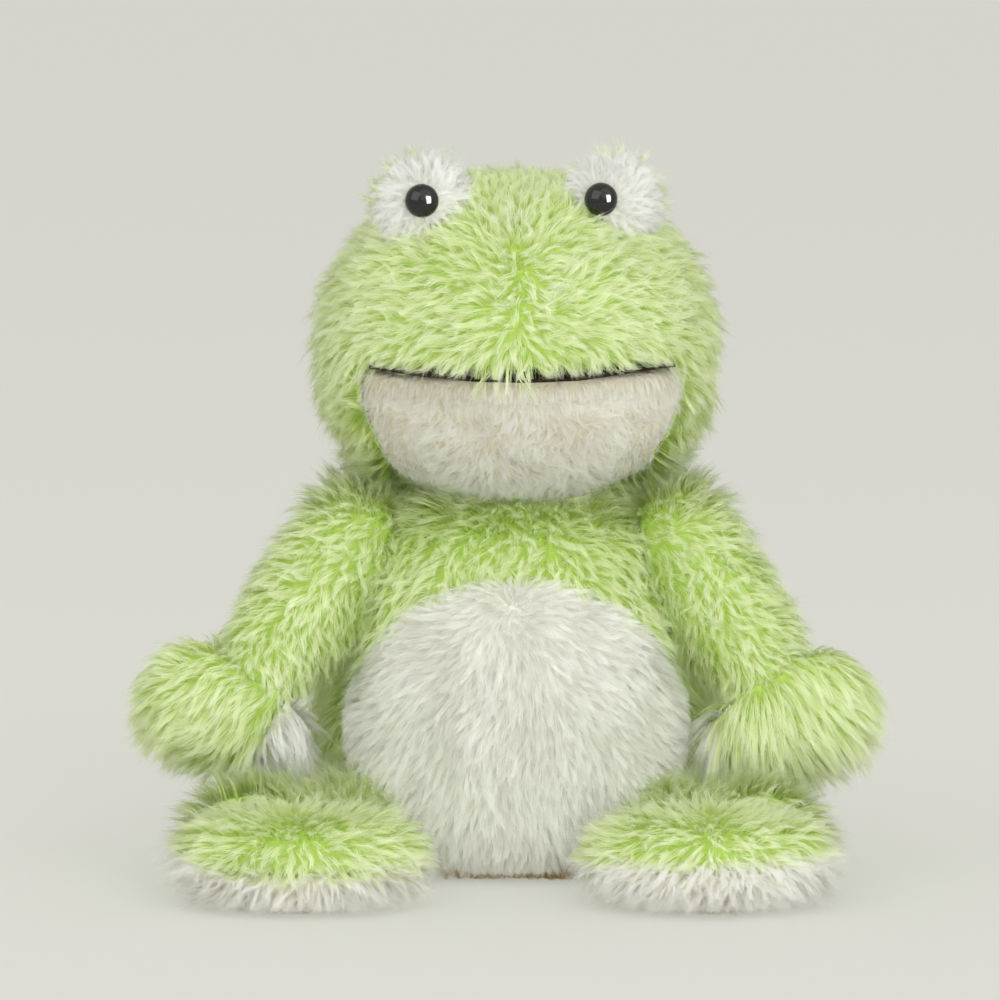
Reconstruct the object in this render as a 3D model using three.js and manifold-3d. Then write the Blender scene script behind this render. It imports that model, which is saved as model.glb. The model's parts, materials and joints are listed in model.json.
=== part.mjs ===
// Plush frog, sitting with its arms down and its legs splayed, as an assembly of sewn and stuffed pieces.
// Millimetres, +Z up. The face looks along -Y, +X is on the viewer's right, and left means -X.
// Each soft piece is as large as its pile stands, and is cut back where it is sewn to a larger one.
// The origin is at the middle of the base.

import * as THREE from "three";
import { ConvexGeometry } from "three/addons/geometries/ConvexGeometry.js";
import { mergeVertices } from "three/addons/utils/BufferGeometryUtils.js";
import Module from "manifold-3d";

const wasm = await Module();
wasm.setup();

// Clearances and cutting sizes
const seam_gap = 0.3; // between pieces that are sewn or seated on each other
const swing_gap = 0.8; // round a leg that swings in its bay
const socket_gap = 1.1; // round a ball end that turns in its socket
const sag = 0.5; // how far a form is pressed flat where it rests on the table
const overrun = 400; // how far a cutting block reaches past what it cuts

// Stuffed forms have half sizes and shares of fullness: 2 is round, and more is nearer to a box
const round_share = 2;

// Body, with the height of its middle above the table
const torso = { height: 84, width: 90, front: 74, back: 72, up: 100, over_share: 2, under_share: 2.8 };
const belly = { drop_height: 14, half_width: 76, half_height: 69, proud: 3, depth: 9 };
const neck = { over_torso: 88 };
const pouch = {
  drop_height: 14, width: 50, front: 30, back: 30, up: 42, down: 42, over_share: 2.4, under_share: 2.4,
};
const closing = { slit: 0.9, length: 64 };

// Head
const head = {
  over_neck: 66, width: 91, front: 80, back: 74, up: 80, down: 70, over_share: 2, under_share: 2.5,
};
const head_turn_deg = 3;
const mouth = { drop_height: 3.3, felt: 2.4, felt_proud: 0.8, half_width: 68 };
const jaw = { half_width: 72, half_height: 79, root: 22 };
const mound = { spread: 42, fore: 23, over_head: 65, radius: 25 };
const patch = { behind: 4, inward_deg: 16, down_deg: 6 };
const eye = { radius: 7.5, dome: 5.6, seat: 4.2, rim: 1.2, stem: 1.8, stem_length: 8.5, up_deg: 12 };
const eye_aside_deg = { left: 6, right: 18 };
const washer = {
  radius: 6.5, bore_clearance: 0.1, thickness: 1.8, collar: 3.4, collar_rise: 1.2, cloth: 3.2,
};
const pocket_clearance = 0.6;

// Arms and paws: out, fore and drop are from the body's middle, or from the joint before
const shoulder = { inset_width: 18, fore: 12, under_neck: 20, radius: 27, seat: 10 };
const arm = { middle_radius: 28 };
const flank = { out_share: 0.88, fore_share: 0.35, up_share: 0.32 }; // the way the arm's seam faces
const wrist = { fore: 28, drop_height: 52, radius: 24, crease: 10 };
const wrist_out = { left: 39, right: 36 };
const paw = { width: 41, front: 28, back: 28, up: 31, down: 31, over_share: 2.2, under_share: 2.2, palm: 12 };
const paw_fore = 4;
const paw_out = { left: 18, right: 12.5 };
const paw_drop_height = { left: 18, right: 19.5 };
const palm_facing = { in_share: 0.82, back_share: 0.42, down_share: 0.39 };

// Legs and feet
const hip = { fore: 34, radius: 23.5, inward_deg: 8, outward_deg: 22 };
const hip_inset_width = { left: 23, right: 29 };
const leg = { middle_radius: 24.5 };
const calf = { out: 16, width: 31, front: 36, back: 36, up: 27, over_share: 2.2, under_share: 2.5 };
const ankle = { fore: 44, radius: 22.5, crease: 5, room: 4, lift_deg: 30 };
const ankle_out = { left: 34, right: 29 };
const foot = { width: 57.5, front: 41, back: 41, up: 23.5, over_share: 2.5, under_share: 2.5, sole: 20 };
const foot_place = { fore: 26, inset_width: 6 };

// Facets: around and from pole to pole
const fine = { around: 24, levels: 12 };
const medium = { around: 16, levels: 10 };
const plain = { around: 14, levels: 8 };
const hidden = { around: 10 };

const sides = [
  { name: "left", sign: -1 },
  { name: "right", sign: 1 },
];

// Solids: joining and cutting

function solidOf(geometry) {
  geometry.deleteAttribute("normal");
  geometry.deleteAttribute("uv");
  const merged = mergeVertices(geometry);
  const vertProperties = Float32Array.from(merged.attributes.position.array);
  const triVerts = Uint32Array.from(merged.index.array);
  return new wasm.Manifold(new wasm.Mesh({ numProp: 3, vertProperties, triVerts }));
}

function geometryOf(solid) {
  const { vertProperties, triVerts } = solid.getMesh();
  const geometry = new THREE.BufferGeometry();
  geometry.setAttribute("position", new THREE.BufferAttribute(Float32Array.from(vertProperties), 3));
  geometry.setIndex(new THREE.BufferAttribute(Uint32Array.from(triVerts), 1));
  const faceted = geometry.toNonIndexed();
  faceted.computeVertexNormals();
  return faceted;
}

/** A block between two corners. */
function block(low, high) {
  const size = new THREE.Vector3().subVectors(high, low);
  const middle = new THREE.Vector3().addVectors(low, high).multiplyScalar(1 / 2);
  return solidOf(new THREE.BoxGeometry(size.x, size.y, size.z).translate(middle.x, middle.y, middle.z));
}

/** Everything on the side of a plane that its normal points to. */
function beyond(point, normal) {
  const half = new THREE.BoxGeometry(overrun * 2, overrun * 2, overrun * 2).translate(0, 0, overrun);
  half.applyQuaternion(new THREE.Quaternion().setFromUnitVectors(new THREE.Vector3(0, 0, 1), normal));
  return solidOf(half.translate(point.x, point.y, point.z));
}

/** A stuffed form: a unit ball drawn out by its half sizes, and filled out over and under its middle. */
function stuffedForm(middle, size, facets, grow = 0) {
  const ball = new THREE.SphereGeometry(1, facets.around, facets.levels).rotateX(Math.PI / 2);
  const place = ball.attributes.position;
  for (let i = 0; i < place.count; i += 1) {
    const along = Math.hypot(place.getX(i), place.getY(i));
    const rise = place.getZ(i);
    const full = rise > 0 ? size.over_share : size.under_share;
    const reach = along ** (round_share / full);
    const across = along > 0 ? place.getX(i) / along : 0;
    const deep = along > 0 ? place.getY(i) / along : 0;
    const depth = deep < 0 ? size.front : size.back;
    const tall = rise > 0 ? size.up : size.down;
    place.setXYZ(
      i,
      middle.x + (size.width + grow) * reach * across,
      middle.y + (depth + grow) * reach * deep,
      middle.z + (tall + grow) * Math.sign(rise) * Math.abs(rise) ** (round_share / full),
    );
  }
  return solidOf(ball);
}

/** A stuffed limb: round ends of their own radii on one line, with another radius midway. */
function limbForm(from, to, fromRadius, middleRadius, toRadius, facets, grow = 0) {
  const line = new THREE.Vector3().subVectors(to, from);
  const length = line.length();
  const swell = middleRadius - (fromRadius + toRadius) / 2;
  const quarter = facets.levels / 2;
  const profile = [];
  for (let i = 0; i < quarter; i += 1) {
    const angle = (i / quarter) * (Math.PI / 2);
    profile.push([(fromRadius + grow) * Math.sin(angle), -(fromRadius + grow) * Math.cos(angle)]);
  }
  for (let i = 0; i <= quarter; i += 1) {
    const share = i / quarter;
    const radius = fromRadius + (toRadius - fromRadius) * share + swell * Math.sin(share * Math.PI);
    profile.push([radius + grow, length * share]);
  }
  for (let i = 1; i <= quarter; i += 1) {
    const angle = (i / quarter) * (Math.PI / 2);
    profile.push([(toRadius + grow) * Math.cos(angle), length + (toRadius + grow) * Math.sin(angle)]);
  }
  profile[0][0] = 0;
  profile[profile.length - 1][0] = 0;
  const outline = profile.map(([radius, height]) => new THREE.Vector2(radius, height));
  const lathe = new THREE.LatheGeometry(outline, facets.around);
  lathe.applyQuaternion(
    new THREE.Quaternion().setFromUnitVectors(new THREE.Vector3(0, 1, 0), line.normalize()),
  );
  return solidOf(lathe.translate(from.x, from.y, from.z));
}

function ballForm(middle, radius, facets, grow = 0) {
  const size = { width: radius, front: radius, back: radius, up: radius, down: radius };
  return stuffedForm(middle, { ...size, over_share: round_share, under_share: round_share }, facets, grow);
}

/** A disc or cylinder along a direction, from a start to a length. */
function rod(start, direction, radius, length, around = plain.around) {
  const cylinder = new THREE.CylinderGeometry(radius, radius, length, around).translate(0, length / 2, 0);
  cylinder.applyQuaternion(
    new THREE.Quaternion().setFromUnitVectors(new THREE.Vector3(0, 1, 0), direction),
  );
  return solidOf(cylinder.translate(start.x, start.y, start.z));
}

/** An oval prism that runs from front to back, for panels that are outlined from the front. */
function ovalPrism(middleX, middleZ, halfWidth, halfHeight, grow = 0) {
  const oval = new THREE.Shape();
  oval.absellipse(0, 0, halfWidth + grow, halfHeight + grow, 0, Math.PI * 2);
  const prism = new THREE.ExtrudeGeometry(oval, {
    depth: overrun,
    bevelEnabled: false,
    curveSegments: plain.around,
  });
  return solidOf(prism.rotateX(Math.PI / 2).translate(middleX, 0, middleZ));
}

/** The room that a leg takes over its middle as it turns flat on the table. */
function legSweep(at, sign) {
  const points = [];
  for (const angle of [-hip.inward_deg, hip.outward_deg]) {
    const line = new THREE.Vector3().subVectors(at.ankle, at.hip);
    const ankleAt = line.applyAxisAngle(up, sign * THREE.MathUtils.degToRad(angle)).add(at.hip);
    const { vertProperties } = legForm({ hip: at.hip, ankle: ankleAt }, plain, 0, socket_gap).getMesh();
    for (let i = 0; i < vertProperties.length; i += 3) {
      points.push(new THREE.Vector3().fromArray(vertProperties, i));
    }
  }
  return solidOf(new ConvexGeometry(points));
}

/** The room that it takes under its middle: a wedge that is round behind the hip. */
function legBay(at, sign) {
  const line = new THREE.Vector3().subVectors(at.ankle, at.hip);
  const rest = Math.atan2(line.y, line.x);
  const turn = [-hip.inward_deg, hip.outward_deg]
    .map((angle) => rest + sign * THREE.MathUtils.degToRad(angle));
  const [first, last] = turn.sort((a, b) => a - b);
  const radius = hip.radius + swing_gap;
  const swell = leg.middle_radius - (hip.radius + ankle.radius) / 2;
  const mouthRadius = radius + ((swell + swing_gap) * overrun * 2) / line.length();
  const bay = new THREE.Shape();
  const quarter = Math.PI / 2;
  const corner = (angle, aside) => [
    overrun * Math.cos(angle) + mouthRadius * Math.cos(angle + aside),
    overrun * Math.sin(angle) + mouthRadius * Math.sin(angle + aside),
  ];
  bay.moveTo(radius * Math.cos(first - quarter), radius * Math.sin(first - quarter));
  bay.lineTo(...corner(first, -quarter));
  bay.lineTo(...corner(last, quarter));
  bay.lineTo(radius * Math.cos(last + quarter), radius * Math.sin(last + quarter));
  bay.absarc(0, 0, radius, last + quarter, first - quarter + Math.PI * 2, false);
  const prism = new THREE.ExtrudeGeometry(bay, {
    depth: at.hip.z + overrun,
    bevelEnabled: false,
    curveSegments: plain.levels,
  });
  return solidOf(prism.translate(at.hip.x, at.hip.y, -overrun));
}

const up = new THREE.Vector3(0, 0, 1);
const down = new THREE.Vector3(0, 0, -1);
const backwards = new THREE.Vector3(0, 1, 0);
const table = beyond(new THREE.Vector3(0, 0, 0), down);

// Heights above the table
const neckHeight = torso.height + neck.over_torso;
const headHeight = neckHeight + head.over_neck;
const mouthHeight = headHeight - mouth.drop_height;
const bellyHeight = torso.height - belly.drop_height;
const pouchHeight = torso.height - pouch.drop_height;

// Places that a pair of limbs works from

function limbPlaces({ name, sign }) {
  const seam = new THREE.Vector3(sign * flank.out_share, -flank.fore_share, flank.up_share).normalize();
  const shoulderOut = torso.width - shoulder.inset_width;
  const shoulderAt = new THREE.Vector3(sign * shoulderOut, -shoulder.fore, neckHeight - shoulder.under_neck);
  const hipOut = torso.width - hip_inset_width[name];
  const hipAt = new THREE.Vector3(sign * hipOut, -hip.fore, hip.radius - sag);
  return {
    seam,
    shoulder: shoulderAt,
    seamPoint: shoulderAt.clone().addScaledVector(seam, -shoulder.seat),
    wrist: new THREE.Vector3(
      shoulderAt.x + sign * wrist_out[name],
      shoulderAt.y - wrist.fore,
      shoulderAt.z - wrist.drop_height,
    ),
    hip: hipAt,
    ankle: new THREE.Vector3(hipAt.x + sign * ankle_out[name], hipAt.y - ankle.fore, hipAt.z),
  };
}

const places = Object.fromEntries(sides.map((side) => [side.name, limbPlaces(side)]));

function armForm(at, facets) {
  return limbForm(at.shoulder, at.wrist, shoulder.radius, arm.middle_radius, wrist.radius, facets);
}

function legForm(at, facets, room = 0, grow = 0) {
  return limbForm(at.hip, at.ankle, hip.radius, leg.middle_radius + room, ankle.radius, facets, grow);
}

// Body

function torsoForm(grow = 0) {
  const size = { ...torso, down: torso.height + sag };
  return stuffedForm(new THREE.Vector3(0, 0, torso.height), size, fine, grow);
}

/** What the legs and the arms' seams leave of the body's front and sides. */
function clearOfLimbs(solid) {
  let left = solid.subtract(table);
  for (const side of sides) {
    const at = places[side.name];
    left = left.subtract(legSweep(at, side.sign)).subtract(legBay(at, side.sign));
    left = left.subtract(beyond(at.seamPoint.clone().addScaledVector(at.seam, -seam_gap), at.seam));
  }
  return left;
}

function pouchForm(grow = 0) {
  return stuffedForm(new THREE.Vector3(0, 0, pouchHeight), pouch, plain, grow);
}

function makeTorso() {
  const recess = ovalPrism(0, bellyHeight, belly.half_width, belly.half_height, seam_gap)
    .subtract(torsoForm(-belly.depth - seam_gap));
  const top = beyond(new THREE.Vector3(0, 0, neckHeight - seam_gap / 2), up);
  const slit = block(
    new THREE.Vector3(-closing.slit / 2, 0, pouchHeight - closing.length / 2),
    new THREE.Vector3(closing.slit / 2, overrun, pouchHeight + closing.length / 2),
  );
  const body = torsoForm().subtract(recess).subtract(top);
  return clearOfLimbs(body).subtract(pouchForm(seam_gap)).subtract(slit);
}

function makeBellyPanel() {
  const oval = ovalPrism(0, bellyHeight, belly.half_width, belly.half_height);
  const pad = torsoForm(belly.proud).intersect(oval).subtract(torsoForm(-belly.depth));
  return clearOfLimbs(pad);
}

// Head

const headAt = new THREE.Vector3(0, 0, headHeight);

function headForm(grow = 0) {
  return stuffedForm(headAt, head, fine, grow);
}

/** The space of the lower jaw and the felt above it, open to the front. */
function jawSpace(grow = 0) {
  const bowl = ovalPrism(0, mouthHeight, jaw.half_width, jaw.half_height, grow);
  const above = beyond(new THREE.Vector3(0, 0, mouthHeight), up);
  const behind = beyond(new THREE.Vector3(0, grow - jaw.root, 0), backwards);
  return bowl.subtract(above).subtract(behind);
}

const underNeck = beyond(new THREE.Vector3(0, 0, neckHeight + seam_gap / 2), down);

function makeHead() {
  return sides.reduce(
    (solid, side) => solid.subtract(washerPocket(side)),
    headForm().subtract(jawSpace(seam_gap)).subtract(underNeck),
  );
}

function makeJawPanel() {
  const top = beyond(new THREE.Vector3(0, 0, mouthHeight - mouth.felt - 2 * seam_gap), up);
  return headForm().intersect(jawSpace()).subtract(top).subtract(underNeck);
}

function makeMouthFelt() {
  const layer = block(
    new THREE.Vector3(-mouth.half_width, -overrun, mouthHeight - mouth.felt - seam_gap),
    new THREE.Vector3(mouth.half_width, -jaw.root, mouthHeight - seam_gap),
  );
  return headForm(mouth.felt_proud).intersect(layer);
}

function mounded({ sign }) {
  return new THREE.Vector3(sign * mound.spread, -mound.fore, headHeight + mound.over_head);
}

function moundForm(side, grow = 0) {
  return ballForm(mounded(side), mound.radius, medium, grow);
}

/** The way the white front of a mound faces. */
function patchFacing({ sign }) {
  const inward = THREE.MathUtils.degToRad(patch.inward_deg);
  const lower = THREE.MathUtils.degToRad(patch.down_deg);
  return new THREE.Vector3(
    -sign * Math.sin(inward) * Math.cos(lower),
    -Math.cos(inward) * Math.cos(lower),
    -Math.sin(lower),
  );
}

/** The way an eye looks. */
function eyeFacing({ name }) {
  const aside = THREE.MathUtils.degToRad(eye_aside_deg[name]);
  const raised = THREE.MathUtils.degToRad(eye.up_deg);
  return new THREE.Vector3(
    -Math.sin(aside) * Math.cos(raised),
    -Math.cos(aside) * Math.cos(raised),
    Math.sin(raised),
  );
}

/** The middle of the flat back of an eye's dome. */
function eyeSeat(side) {
  return mounded(side).addScaledVector(eyeFacing(side), mound.radius - eye.seat);
}

/** The room in the stuffing for the washer and the end of the eye's stem. */
function washerPocket(side) {
  const look = eyeFacing(side);
  const deep = eyeSeat(side).addScaledVector(look, -washer.cloth);
  const depth = eye.stem_length - washer.cloth + pocket_clearance;
  return rod(deep, look.negate(), washer.radius + pocket_clearance, depth, hidden.around);
}

function makeEyeMound(side) {
  const front = beyond(mounded(side).addScaledVector(patchFacing(side), -patch.behind), patchFacing(side));
  return moundForm(side).subtract(front).subtract(headForm(seam_gap)).subtract(washerPocket(side));
}

function makeEyePatch(side) {
  const facing = patchFacing(side);
  const start = mounded(side).addScaledVector(facing, -patch.behind + seam_gap);
  const look = eyeFacing(side);
  const seat = eyeSeat(side);
  const bore = rod(seat, look.clone().negate(), eye.stem + seam_gap, eye.stem_length, hidden.around);
  const recess = rod(seat, look, eye.radius + seam_gap, overrun);
  return moundForm(side)
    .intersect(beyond(start, facing))
    .subtract(headForm(seam_gap))
    .subtract(washerPocket(side))
    .subtract(bore)
    .subtract(recess);
}

/** A glossy dome with a straight rim, and the stem that goes through the cloth. */
function makeEye(side) {
  const outline = [new THREE.Vector2(0, -eye.stem_length), new THREE.Vector2(eye.stem, -eye.stem_length)];
  outline.push(new THREE.Vector2(eye.stem, seam_gap), new THREE.Vector2(eye.radius, seam_gap));
  const steps = plain.levels;
  for (let i = 0; i < steps; i += 1) {
    const angle = (i / steps) * (Math.PI / 2);
    const height = eye.rim + eye.dome * Math.sin(angle);
    outline.push(new THREE.Vector2(eye.radius * Math.cos(angle), height));
  }
  outline.push(new THREE.Vector2(0, eye.rim + eye.dome));
  return { outline, seat: eyeSeat(side), facing: eyeFacing(side) };
}

/** A washer with a raised collar, pushed up the stem from behind. */
function makeWasher(side) {
  const bore = eye.stem + washer.bore_clearance;
  const outline = [
    new THREE.Vector2(bore, -washer.thickness - washer.collar_rise),
    new THREE.Vector2(washer.collar, -washer.thickness - washer.collar_rise),
    new THREE.Vector2(washer.collar, -washer.thickness),
    new THREE.Vector2(washer.radius, -washer.thickness),
    new THREE.Vector2(washer.radius, 0),
    new THREE.Vector2(bore, 0),
    new THREE.Vector2(bore, -washer.thickness - washer.collar_rise),
  ];
  const facing = eyeFacing(side);
  const seat = eyeSeat(side).addScaledVector(facing, -washer.cloth - seam_gap);
  return { outline, seat, facing };
}

function latheAt({ outline, seat, facing }, around) {
  const lathe = new THREE.LatheGeometry(outline, around);
  lathe.applyQuaternion(new THREE.Quaternion().setFromUnitVectors(new THREE.Vector3(0, 1, 0), facing));
  return solidOf(lathe.translate(seat.x, seat.y, seat.z));
}

// Arms and paws

function makeArm(side) {
  const at = places[side.name];
  const inside = beyond(at.seamPoint, at.seam.clone().negate());
  return armForm(at, plain).subtract(inside);
}

function pawForm(side) {
  const at = places[side.name];
  const middle = new THREE.Vector3(
    at.wrist.x + side.sign * paw_out[side.name],
    at.wrist.y - paw_fore,
    at.wrist.z - paw_drop_height[side.name],
  );
  const upwards = new THREE.Vector3().subVectors(at.shoulder, at.wrist).normalize();
  const crease = beyond(at.wrist.clone().addScaledVector(upwards, -wrist.crease), upwards);
  const knuckle = ballForm(at.wrist, wrist.radius, plain, socket_gap);
  return { middle, form: stuffedForm(middle, paw, medium).subtract(crease).subtract(knuckle) };
}

function palmPlane({ sign }, middle, offset) {
  const facing = new THREE.Vector3(
    -sign * palm_facing.in_share,
    palm_facing.back_share,
    -palm_facing.down_share,
  ).normalize();
  return beyond(middle.clone().addScaledVector(facing, paw.palm + offset), facing);
}

function makePaw(side) {
  const { middle, form } = pawForm(side);
  return form.subtract(palmPlane(side, middle, 0));
}

function makePalm(side) {
  const { middle, form } = pawForm(side);
  return form.intersect(palmPlane(side, middle, seam_gap));
}

// Legs and feet

/** The outer swell of a leg, behind the crease of the ankle. */
function calfForm({ name, sign }) {
  const { ankle: ankleAt, hip: hipAt } = places[name];
  const middle = new THREE.Vector3(ankleAt.x + sign * calf.out, ankleAt.y, hipAt.z);
  const crease = beyond(ankleAt.clone().addScaledVector(backwards, swing_gap - ankle.crease), backwards);
  return stuffedForm(middle, { ...calf, down: hip.radius }, plain).intersect(crease);
}

function makeLeg(side) {
  return legForm(places[side.name], plain).add(calfForm(side)).subtract(table);
}

/** The room that the leg takes of a foot whose toes are raised by an angle. */
function legRoom(at, raised) {
  const { x, y, z } = at.ankle;
  return legForm(at, plain, ankle.room).translate([-x, -y, -z]).rotate([raised, 0, 0]).translate([x, y, z]);
}

function footForm(side) {
  const at = places[side.name];
  const middle = new THREE.Vector3(
    at.ankle.x - side.sign * foot_place.inset_width,
    at.ankle.y - foot_place.fore,
    foot.up - sag,
  );
  const size = { ...foot, down: foot.up };
  const lift = THREE.MathUtils.degToRad(ankle.lift_deg);
  const overLeg = new THREE.Vector3(0, Math.cos(lift), Math.sin(lift));
  const heel = ballForm(at.ankle, ankle.radius, plain, socket_gap);
  return [backwards, overLeg]
    .map((facing) => beyond(at.ankle.clone().addScaledVector(facing, -ankle.crease), facing))
    .reduce((form, crease) => form.subtract(crease), stuffedForm(middle, size, medium))
    .subtract(table)
    .subtract(heel)
    .subtract(legRoom(at, 0))
    .subtract(legRoom(at, ankle.lift_deg));
}

function makeFoot(side) {
  return footForm(side).subtract(beyond(new THREE.Vector3(0, 0, foot.sole), down));
}

function makeSole(side) {
  return footForm(side).subtract(beyond(new THREE.Vector3(0, 0, foot.sole - seam_gap), up));
}

// Finishes

const green_pile = { color: 0xbfdc86, roughness: 0.95, metalness: 0 };
const white_pile = { color: 0xebebe6, roughness: 0.95, metalness: 0 };
const cream_pile = { color: 0xe2dccb, roughness: 0.95, metalness: 0 };
const dark_felt = { color: 0x2b2420, roughness: 0.9, metalness: 0 };
const black_plastic = { color: 0x0b0b0c, roughness: 0.08, metalness: 0 };
const pale_plastic = { color: 0xd9d9d2, roughness: 0.4, metalness: 0 };
const calico = { color: 0xd8cfb8, roughness: 0.9, metalness: 0 };

function piece(name, solid, finish, pivot) {
  const geometry = geometryOf(solid).translate(-pivot.x, -pivot.y, -pivot.z);
  const mesh = new THREE.Mesh(geometry, new THREE.MeshStandardMaterial(finish));
  mesh.name = name;
  return mesh;
}

/** A group at a joint's place, inside the group that carries it. */
function bodyAt(name, pivot, parent, parentPivot) {
  const body = new THREE.Group();
  body.name = name;
  body.position.subVectors(pivot, parentPivot);
  parent.add(body);
  return body;
}

// Assembly

const frog = new THREE.Group();
const base = new THREE.Vector3(0, 0, 0);
frog.add(piece("torso", makeTorso(), green_pile, base));
frog.add(piece("belly_panel", makeBellyPanel(), white_pile, base));
frog.add(piece("grain_pouch", pouchForm(), calico, base));

const neckAt = new THREE.Vector3(0, 0, neckHeight);
const headBody = bodyAt("neck_turn", neckAt, frog, base);
headBody.rotation.z = THREE.MathUtils.degToRad(head_turn_deg);
headBody.add(piece("head", makeHead(), green_pile, neckAt));
headBody.add(piece("jaw_panel", makeJawPanel(), cream_pile, neckAt));
headBody.add(piece("mouth_felt", makeMouthFelt(), dark_felt, neckAt));
for (const side of sides) {
  headBody.add(piece(`${side.name}_eye_mound`, makeEyeMound(side), green_pile, neckAt));
  headBody.add(piece(`${side.name}_eye_patch`, makeEyePatch(side), white_pile, neckAt));
  headBody.add(piece(`${side.name}_eye`, latheAt(makeEye(side), medium.around), black_plastic, neckAt));
  const washerSolid = latheAt(makeWasher(side), plain.around);
  headBody.add(piece(`${side.name}_eye_washer`, washerSolid, pale_plastic, neckAt));
}

for (const side of sides) {
  const at = places[side.name];
  const armBody = bodyAt(`${side.name}_shoulder`, at.shoulder, frog, base);
  armBody.add(piece(`${side.name}_arm`, makeArm(side), green_pile, at.shoulder));
  const pawBody = bodyAt(`${side.name}_wrist`, at.wrist, armBody, at.shoulder);
  pawBody.add(piece(`${side.name}_paw`, makePaw(side), green_pile, at.wrist));
  pawBody.add(piece(`${side.name}_palm`, makePalm(side), white_pile, at.wrist));

  const legBody = bodyAt(`${side.name}_hip`, at.hip, frog, base);
  legBody.add(piece(`${side.name}_leg`, makeLeg(side), green_pile, at.hip));
  const footBody = bodyAt(`${side.name}_ankle`, at.ankle, legBody, at.hip);
  footBody.add(piece(`${side.name}_foot`, makeFoot(side), green_pile, at.ankle));
  footBody.add(piece(`${side.name}_sole`, makeSole(side), white_pile, at.ankle));
}

// The origin goes to the middle of the base
frog.updateMatrixWorld(true);
const extent = new THREE.Box3().setFromObject(frog, true);
frog.position.set(-(extent.min.x + extent.max.x) / 2, -(extent.min.y + extent.max.y) / 2, -extent.min.z);

export default frog;
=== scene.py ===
"""Plush frog in long pile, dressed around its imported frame: covers, pile, eyes, mouth and stage.

Metres and +Z up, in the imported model's frame: the face looks along -Y, and left is -X.
A soft piece is a sewn cover that lies a pile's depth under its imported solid, and tufts of tapered
strands that fill the room up to the solid's surface.
"""

import json
import math

import bpy
import numpy as np
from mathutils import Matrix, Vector
from mathutils.bvhtree import BVHTree
from mathutils.kdtree import KDTree

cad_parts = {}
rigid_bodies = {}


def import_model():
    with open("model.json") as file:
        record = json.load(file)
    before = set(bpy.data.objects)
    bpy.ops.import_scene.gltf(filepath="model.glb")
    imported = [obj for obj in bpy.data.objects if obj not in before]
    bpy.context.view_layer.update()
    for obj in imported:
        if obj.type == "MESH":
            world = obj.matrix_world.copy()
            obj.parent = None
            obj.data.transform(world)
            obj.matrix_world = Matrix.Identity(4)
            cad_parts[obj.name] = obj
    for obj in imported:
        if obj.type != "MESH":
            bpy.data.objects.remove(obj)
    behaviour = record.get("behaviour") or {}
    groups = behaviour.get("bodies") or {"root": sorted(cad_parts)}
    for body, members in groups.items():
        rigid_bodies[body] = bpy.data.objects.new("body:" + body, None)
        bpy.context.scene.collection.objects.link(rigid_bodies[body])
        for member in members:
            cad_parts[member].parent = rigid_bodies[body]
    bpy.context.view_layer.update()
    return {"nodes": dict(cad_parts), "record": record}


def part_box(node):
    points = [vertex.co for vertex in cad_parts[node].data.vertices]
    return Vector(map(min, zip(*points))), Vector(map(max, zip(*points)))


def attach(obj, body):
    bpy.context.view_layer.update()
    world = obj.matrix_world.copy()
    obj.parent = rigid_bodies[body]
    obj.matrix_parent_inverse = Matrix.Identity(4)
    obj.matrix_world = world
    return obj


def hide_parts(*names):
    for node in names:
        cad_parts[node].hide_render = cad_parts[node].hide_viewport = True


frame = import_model()

bl_info = {
    "name": "Plush Frog",
    "version": (1, 0, 0),
    "blender": (4, 5, 0),
    "location": "View3D > Sidebar > Plush Frog",
    "description": "Sews and stuffs a plush frog in long pile around its packed frame",
    "category": "Add Mesh",
}

MM = 0.001
SIDES = {"left": -1, "right": 1}
SLOTS = {part["node"]: part["material_slot"] for part in frame["record"]["subparts"]}
SOFT = [node for node, slot in SLOTS.items() if slot.endswith("_pile")]
BODY = {node: body for body, nodes in frame["record"]["behaviour"]["bodies"].items() for node in nodes}
MIDDLE = 4 * MM  # the toy leans a little, so its middle plane is off X = 0
MOUTH_MIDDLE = 6 * MM


# Vectors, and shares from 0 to 1 that change smoothly over the toy

def unit(vectors):
    return vectors / np.maximum(np.linalg.norm(vectors, axis=-1, keepdims=True), 1e-9)


def turned(vectors, axes, angles):
    """Vectors turned about unit axes that they are square to."""
    return vectors * np.cos(angles)[:, None] + np.cross(axes, vectors) * np.sin(angles)[:, None]


def rising(values, start, end):
    """0 before the start and 1 after the end."""
    share = np.clip((values - start) / (end - start), 0, 1)
    return share * share * (3 - 2 * share)


def above(points, low, high):
    """0 under the low height and 1 over the high one, in millimetres."""
    return rising(points[:, 2], low * MM, high * MM)


def below(points, high, low):
    """0 over the high height and 1 under the low one, in millimetres."""
    return rising(-points[:, 2], -high * MM, -low * MM)


def beside(points, near, far, middle=MIDDLE):
    """0 nearer to a middle plane and 1 farther from it, on either side, in millimetres."""
    return rising(np.abs(points[:, 0] - middle), near * MM, far * MM)


def around(points, place, near, far, stretch=(1, 1, 1)):
    """1 nearer to a place and 0 farther from it, in millimetres."""
    away = (points - np.array(place)) * stretch
    return 1 - rising(np.linalg.norm(away, axis=1), near * MM, far * MM)


def waves(points, length, seed, count=7):
    """Smooth noise of about -1 to 1, from plane waves around a length."""
    rng = np.random.default_rng(seed)
    ways = unit(rng.normal(size=(count, 3)))
    ways = ways * (2 * math.pi / (length * rng.uniform(0.7, 1.5, (count, 1))))
    phases = rng.uniform(0, 2 * math.pi, count)
    return np.sin(points @ ways.T + phases).sum(axis=1) / math.sqrt(count / 2) * 0.7


# Colours and nodes

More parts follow.
